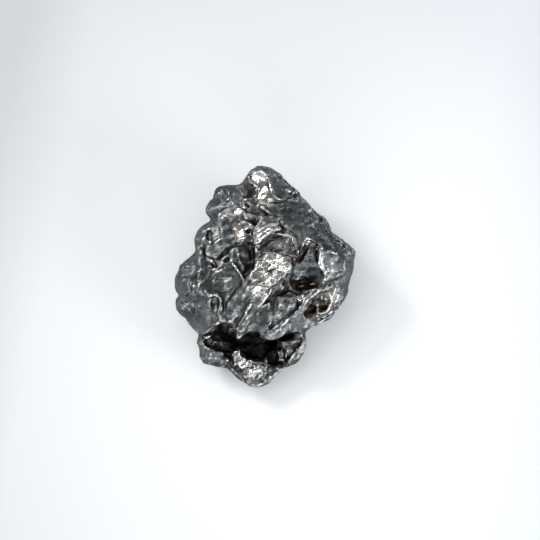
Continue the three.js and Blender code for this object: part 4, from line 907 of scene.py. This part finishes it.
class OBJECT_OT_iron_meteorite(bpy.types.Operator):
    """Sculpt the stone and give it its iron finish"""

    bl_idname = "object.iron_meteorite"
    bl_label = "Iron meteorite"
    bl_options = {"REGISTER", "UNDO"}

    def execute(self, context):
        settings = context.scene.meteorite_stone
        stone = Stone(settings.step / MM)
        for form in FORMS:
            stone.add(form)
        points, faces = stone.skin()
        normals = face_normals(points, faces)
        points = points + relief(points)[:, None] * normals
        normals = face_normals(points, faces)
        # How hidden each point is, felt for along its outward direction; the finish paints it as shade in
        # hollows
        depth = 0
        for reach in DEPTH_REACHES:
            near = np.clip((reach - stone.read(points + normals * reach)) / reach, 0, 1)
            depth = depth + near / len(DEPTH_REACHES)
        around = [spread(points, faces, points[:, m], 2) for m in range(3)]
        sharp = np.sum((points - np.stack(around, 1)) * normals, 1)
        mesh = self.mesh(context, points, faces)
        _, v, w = points.T
        spots = [patches(points, normals, places) for places in (BARE_AND_HIGHLIGHT_PLACES, DARK_PLACES, STAIN_PLACES)]
        sharp = np.clip(sharp / SHARP_HEIGHT, -1, 1)
        # The flank layer marks the lower flanks, where the finish paints shade
        for name, values in zip(LAYERS, (depth, sharp, below(v, w, *FLANK_SHADE), roughness(points), *spots)):
            layer = mesh.attributes.new(name, "FLOAT", "POINT")
            layer.data.foreach_set("value", np.asarray(values, np.float32))
        mesh.validate()
        mesh.materials.append(self.finish(settings))
        made = bpy.data.objects.new("meteorite_stone", mesh)
        context.scene.collection.objects.link(made)
        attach(made, "root")
        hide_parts("iron_meteorite")
        return {"FINISHED"}

    def mesh(self, context, points, faces):
        """The stone's mesh, standing on the floor with its footprint where the CAD stone's is."""
        x, y, z = upright(*points.T)
        places = np.stack([x, y, np.maximum(z, 0)], 1)
        middle = (places.min(0) + places.max(0)) / 2
        wanted = (STONE_LOW + STONE_HIGH) / 2
        move = (wanted.x - middle[0], wanted.y - middle[1])
        places[:, :2] += move
        context.scene.meteorite_stage.move = move
        mesh = bpy.data.meshes.new("stone")
        mesh.vertices.add(len(places))
        mesh.vertices.foreach_set("co", places.astype(np.float32).ravel())
        mesh.loops.add(faces.size)
        mesh.loops.foreach_set("vertex_index", faces.astype(np.int32).ravel())
        mesh.polygons.add(len(faces))
        mesh.polygons.foreach_set("loop_start", np.arange(0, faces.size, 4, dtype=np.int32))
        mesh.polygons.foreach_set("use_smooth", np.ones(len(faces), bool))
        mesh.update(calc_edges=True)
        return mesh

    def finish(self, settings):
        """Worn iron, with rubbed metal that is partly painted highlight, dark skin and rust by place, and
        dark oxide with painted shade in creases and hollows by slope and depth; the lower flanks darkened as
        painted shade.
        """
        made, tree, shader = material("iron")
        place = node(tree, "ShaderNodeTexCoord").outputs["Object"]
        turn = node(tree, "ShaderNodeMapping")
        turn.inputs["Rotation"].default_value = (0, 0, math.radians(STREAK_DEG))
        turn.inputs["Scale"].default_value = (STREAK_STRETCH, 1.0, 1.0)
        feed(tree, place, turn.inputs["Vector"])
        cloud = noise(tree, place, CLOUD_SCALE, 4, 0.55)
        speck = noise(tree, place, SPECK_SCALE, 3, 0.6, 0.4)
        crease = noise(tree, turn.outputs["Vector"], STREAK_SCALE, 3, 0.55, 0.6)
        grain = noise(tree, place, GRAIN_SCALE, 2, 0.6)
        depth, sharp, flank, rough, bare, dark, stain = (
            node(tree, "ShaderNodeAttribute", attribute_name=name).outputs["Fac"] for name in LAYERS
        )
        # Streaks and specks, about 0 in the mean, break up the edges of every patch
        broken = plus(tree, plus(tree, -1.05, crease, 1.5), speck, 0.6)
        lines = ramp(tree, crease, [(0.36, (1, 1, 1)), (0.47, (0, 0, 0))])
        # Rubbed metal, partly painted highlight on the places that should shine
        bright = rise(tree, plus(tree, bare, broken), 0.3, 0.6)
        skin = rise(tree, plus(tree, dark, broken, 0.5), 0.2, 0.8)
        rust = rise(tree, plus(tree, stain, broken, 0.6), 0.25, 0.75)
        # Painted shade in concave creases
        crease_shade = rise(tree, arithmetic(tree, "MULTIPLY", sharp, -1.0), 0.15, 0.9, 0.85)
        worn = plus(tree, plus(tree, sharp, dark, -0.7), flank, -0.2)
        # Painted shade in hollows: how hidden a point is, broken by streaks and lifted on the rubbed metal
        deep = plus(tree, plus(tree, depth, broken, 0.25), bare, -0.6)
        painted_shade = rise(tree, deep, 0.28, 0.75, 0.9)
        tone = mix(tree, rise(tree, cloud, 0.35, 0.7), dimmed(settings.iron, 0.8), dimmed(settings.iron, 1.2))
        # Each colour is laid over those before it
        for share, color in (
            (lines, dimmed(settings.iron, 0.45)),
            # Painted shade: the lower flanks at half the iron's colour
            (flank, dimmed(settings.iron, 0.5)),
            (bright, settings.bare),
            (skin, settings.skin),
            (rust, settings.stain),
            # Painted shade in the crevice colour: creases, then, over the rubbed edges, hollows
            (crease_shade, settings.crevice_oxide_and_shade),
            (rise(tree, worn, 0.1, 0.6), settings.edge),
            (painted_shade, settings.crevice_oxide_and_shade),
        ):
            tone = mix(tree, share, tone, color)
        feed(tree, tone, shader.inputs["Base Color"])
        shader.inputs["Metallic"].default_value = 1.0
        shader.inputs["Specular Tint"].default_value = (0.55, 0.55, 0.55, 1.0)
        matt = plus(tree, settings.roughness - 0.1, cloud, 0.2)
        matt = plus(tree, plus(tree, matt, bright, -0.14), painted_shade, 0.2)
        feed(tree, matt, shader.inputs["Roughness"])
        bump = node(tree, "ShaderNodeBump")
        bump.inputs["Distance"].default_value = BUMP_HEIGHT
        feed(tree, plus(tree, 0.36, rough, 0.6), bump.inputs["Strength"])
        height = plus(tree, crease, cloud, 0.8)
        height = plus(tree, plus(tree, height, speck, 0.5), grain, 0.12)
        feed(tree, height, bump.inputs["Height"])
        feed(tree, bump.outputs["Normal"], shader.inputs["Normal"])
        return made


class SCENE_OT_meteorite_stage(bpy.types.Operator):
    """Lay the pale surface, hang the lights and set the camera"""

    bl_idname = "scene.meteorite_stage"
    bl_label = "Stage"
    bl_options = {"REGISTER", "UNDO"}

    def execute(self, context):
        settings = context.scene.meteorite_stage
        self.floor(context, settings)
        for name in LIGHTS:
            self.light(context, name, getattr(settings, name))
        self.sky(context, settings)
        self.camera(context, settings)
        view = context.scene.view_settings
        view.view_transform = "Standard"
        view.look = "None"
        return {"FINISHED"}

    def sky(self, context, settings):
        """Light from all round: palest at a slant to the face, dimmest straight above it."""
        world = bpy.data.worlds.new("sky")
        world.use_nodes = True
        tree = world.node_tree
        place = node(tree, "ShaderNodeTexCoord").outputs["Generated"]
        level = plus(tree, dot(tree, place, FACE_AXIS), noise(tree, place, 2.2, 1), 0.7)
        level = plus(tree, -0.35, level)
        background = tree.nodes["Background"]
        feed(tree, ramp(tree, level, SKY_TONES), background.inputs["Color"])
        background.inputs["Strength"].default_value = settings.sky
        context.scene.world = world

    def floor(self, context, settings):
        """The pale surface, with painted light: paler to the right and round the stone, where it lifts the
        stone's shadow.
        """
        size = FLOOR_SIZE / 2
        mesh = bpy.data.meshes.new("floor")
        corners = [(-size, -size, 0), (size, -size, 0), (size, size, 0), (-size, size, 0)]
        mesh.from_pydata(corners, [], [(0, 1, 2, 3)])
        made, tree, shader = material("floor")
        place = node(tree, "ShaderNodeTexCoord").outputs["Object"]
        # Painted light: darker to the left and paler to the right, and paler round the stone
        across = dot(tree, place, (1 / ACROSS_WIDTH, ACROSS_LEAN / ACROSS_WIDTH, 0))
        tones = [(at, (tone, tone, tone)) for at, tone in PAINTED_FALLOFF_TONES]
        painted_falloff = ramp(tree, plus(tree, 0.5, across), tones)
        away = node(tree, "ShaderNodeVectorMath", operation="LENGTH")
        feed(tree, place, away.inputs[0])
        near = ramp(tree, arithmetic(tree, "MULTIPLY", away.outputs["Value"], 1 / NEAR_REACH), PAINTED_POOL_TONES)
        tone = mix(tree, 1.0, mix(tree, 1.0, painted_falloff, near, "MULTIPLY"), settings.floor, "MULTIPLY")
        feed(tree, tone, shader.inputs["Base Color"])
        shader.inputs["Roughness"].default_value = 0.9
        mesh.materials.append(made)
        floor = bpy.data.objects.new("floor", mesh)
        context.scene.collection.objects.link(floor)

    def light(self, context, name, power):
        place, size, color = LIGHTS[name]
        data = bpy.data.lights.new(name, "AREA")
        data.shape = "RECTANGLE"
        data.size, data.size_y = size
        data.energy = power
        data.color = color
        made = bpy.data.objects.new(name, data)
        made.location = place
        aim = Vector((0, 0, STONE_HIGH.z / 2)) - Vector(place)
        made.rotation_euler = aim.to_track_quat("-Z", "Y").to_euler()
        # The iron does not mirror the light above
        made.visible_glossy = name != "over"
        context.scene.collection.objects.link(made)

    def camera(self, context, settings):
        """The camera, square on to the face."""
        data = bpy.data.cameras.new("camera")
        made = bpy.data.objects.new("camera", data)
        context.scene.collection.objects.link(made)
        back = Vector(FACE_AXIS)
        turn = Matrix((Vector((1, 0, 0)), Vector((0, SIN, COS)), back)).transposed().to_4x4()
        aim = Vector(upright(*AIM)) + Vector((settings.move[0], settings.move[1], 0))
        made.matrix_world = Matrix.Translation(aim + back * settings.distance) @ turn
        data.sensor_width = SENSOR_WIDTH
        data.lens = SENSOR_WIDTH * settings.distance / settings.width
        data.clip_start = 0.01
        context.scene.camera = made


class VIEW3D_PT_meteorite(bpy.types.Panel):
    """Buttons and settings of the meteorite"""

    bl_label = "Iron Meteorite"
    bl_space_type = "VIEW_3D"
    bl_region_type = "UI"
    bl_category = "Meteorite"

    def draw(self, context):
        layout = self.layout
        for group, operator in ((context.scene.meteorite_stone, OBJECT_OT_iron_meteorite),
                                (context.scene.meteorite_stage, SCENE_OT_meteorite_stage)):
            box = layout.box()
            for name in type(group).__annotations__:
                box.prop(group, name)
            box.operator(operator.bl_idname)


CLASSES = (
    StoneSettings, StageSettings, OBJECT_OT_iron_meteorite, SCENE_OT_meteorite_stage, VIEW3D_PT_meteorite,
)


def register():
    for cls in CLASSES:
        bpy.utils.register_class(cls)
    bpy.types.Scene.meteorite_stone = PointerProperty(type=StoneSettings)
    bpy.types.Scene.meteorite_stage = PointerProperty(type=StageSettings)


def unregister():
    del bpy.types.Scene.meteorite_stage
    del bpy.types.Scene.meteorite_stone
    for cls in reversed(CLASSES):
        bpy.utils.unregister_class(cls)


def corners(bounds):
    """Two corners as plain lists."""
    return [list(corner) for corner in bounds]


def main():
    register()
    bpy.ops.object.iron_meteorite()
    bpy.ops.scene.meteorite_stage()


if __name__ == "__main__":
    main()
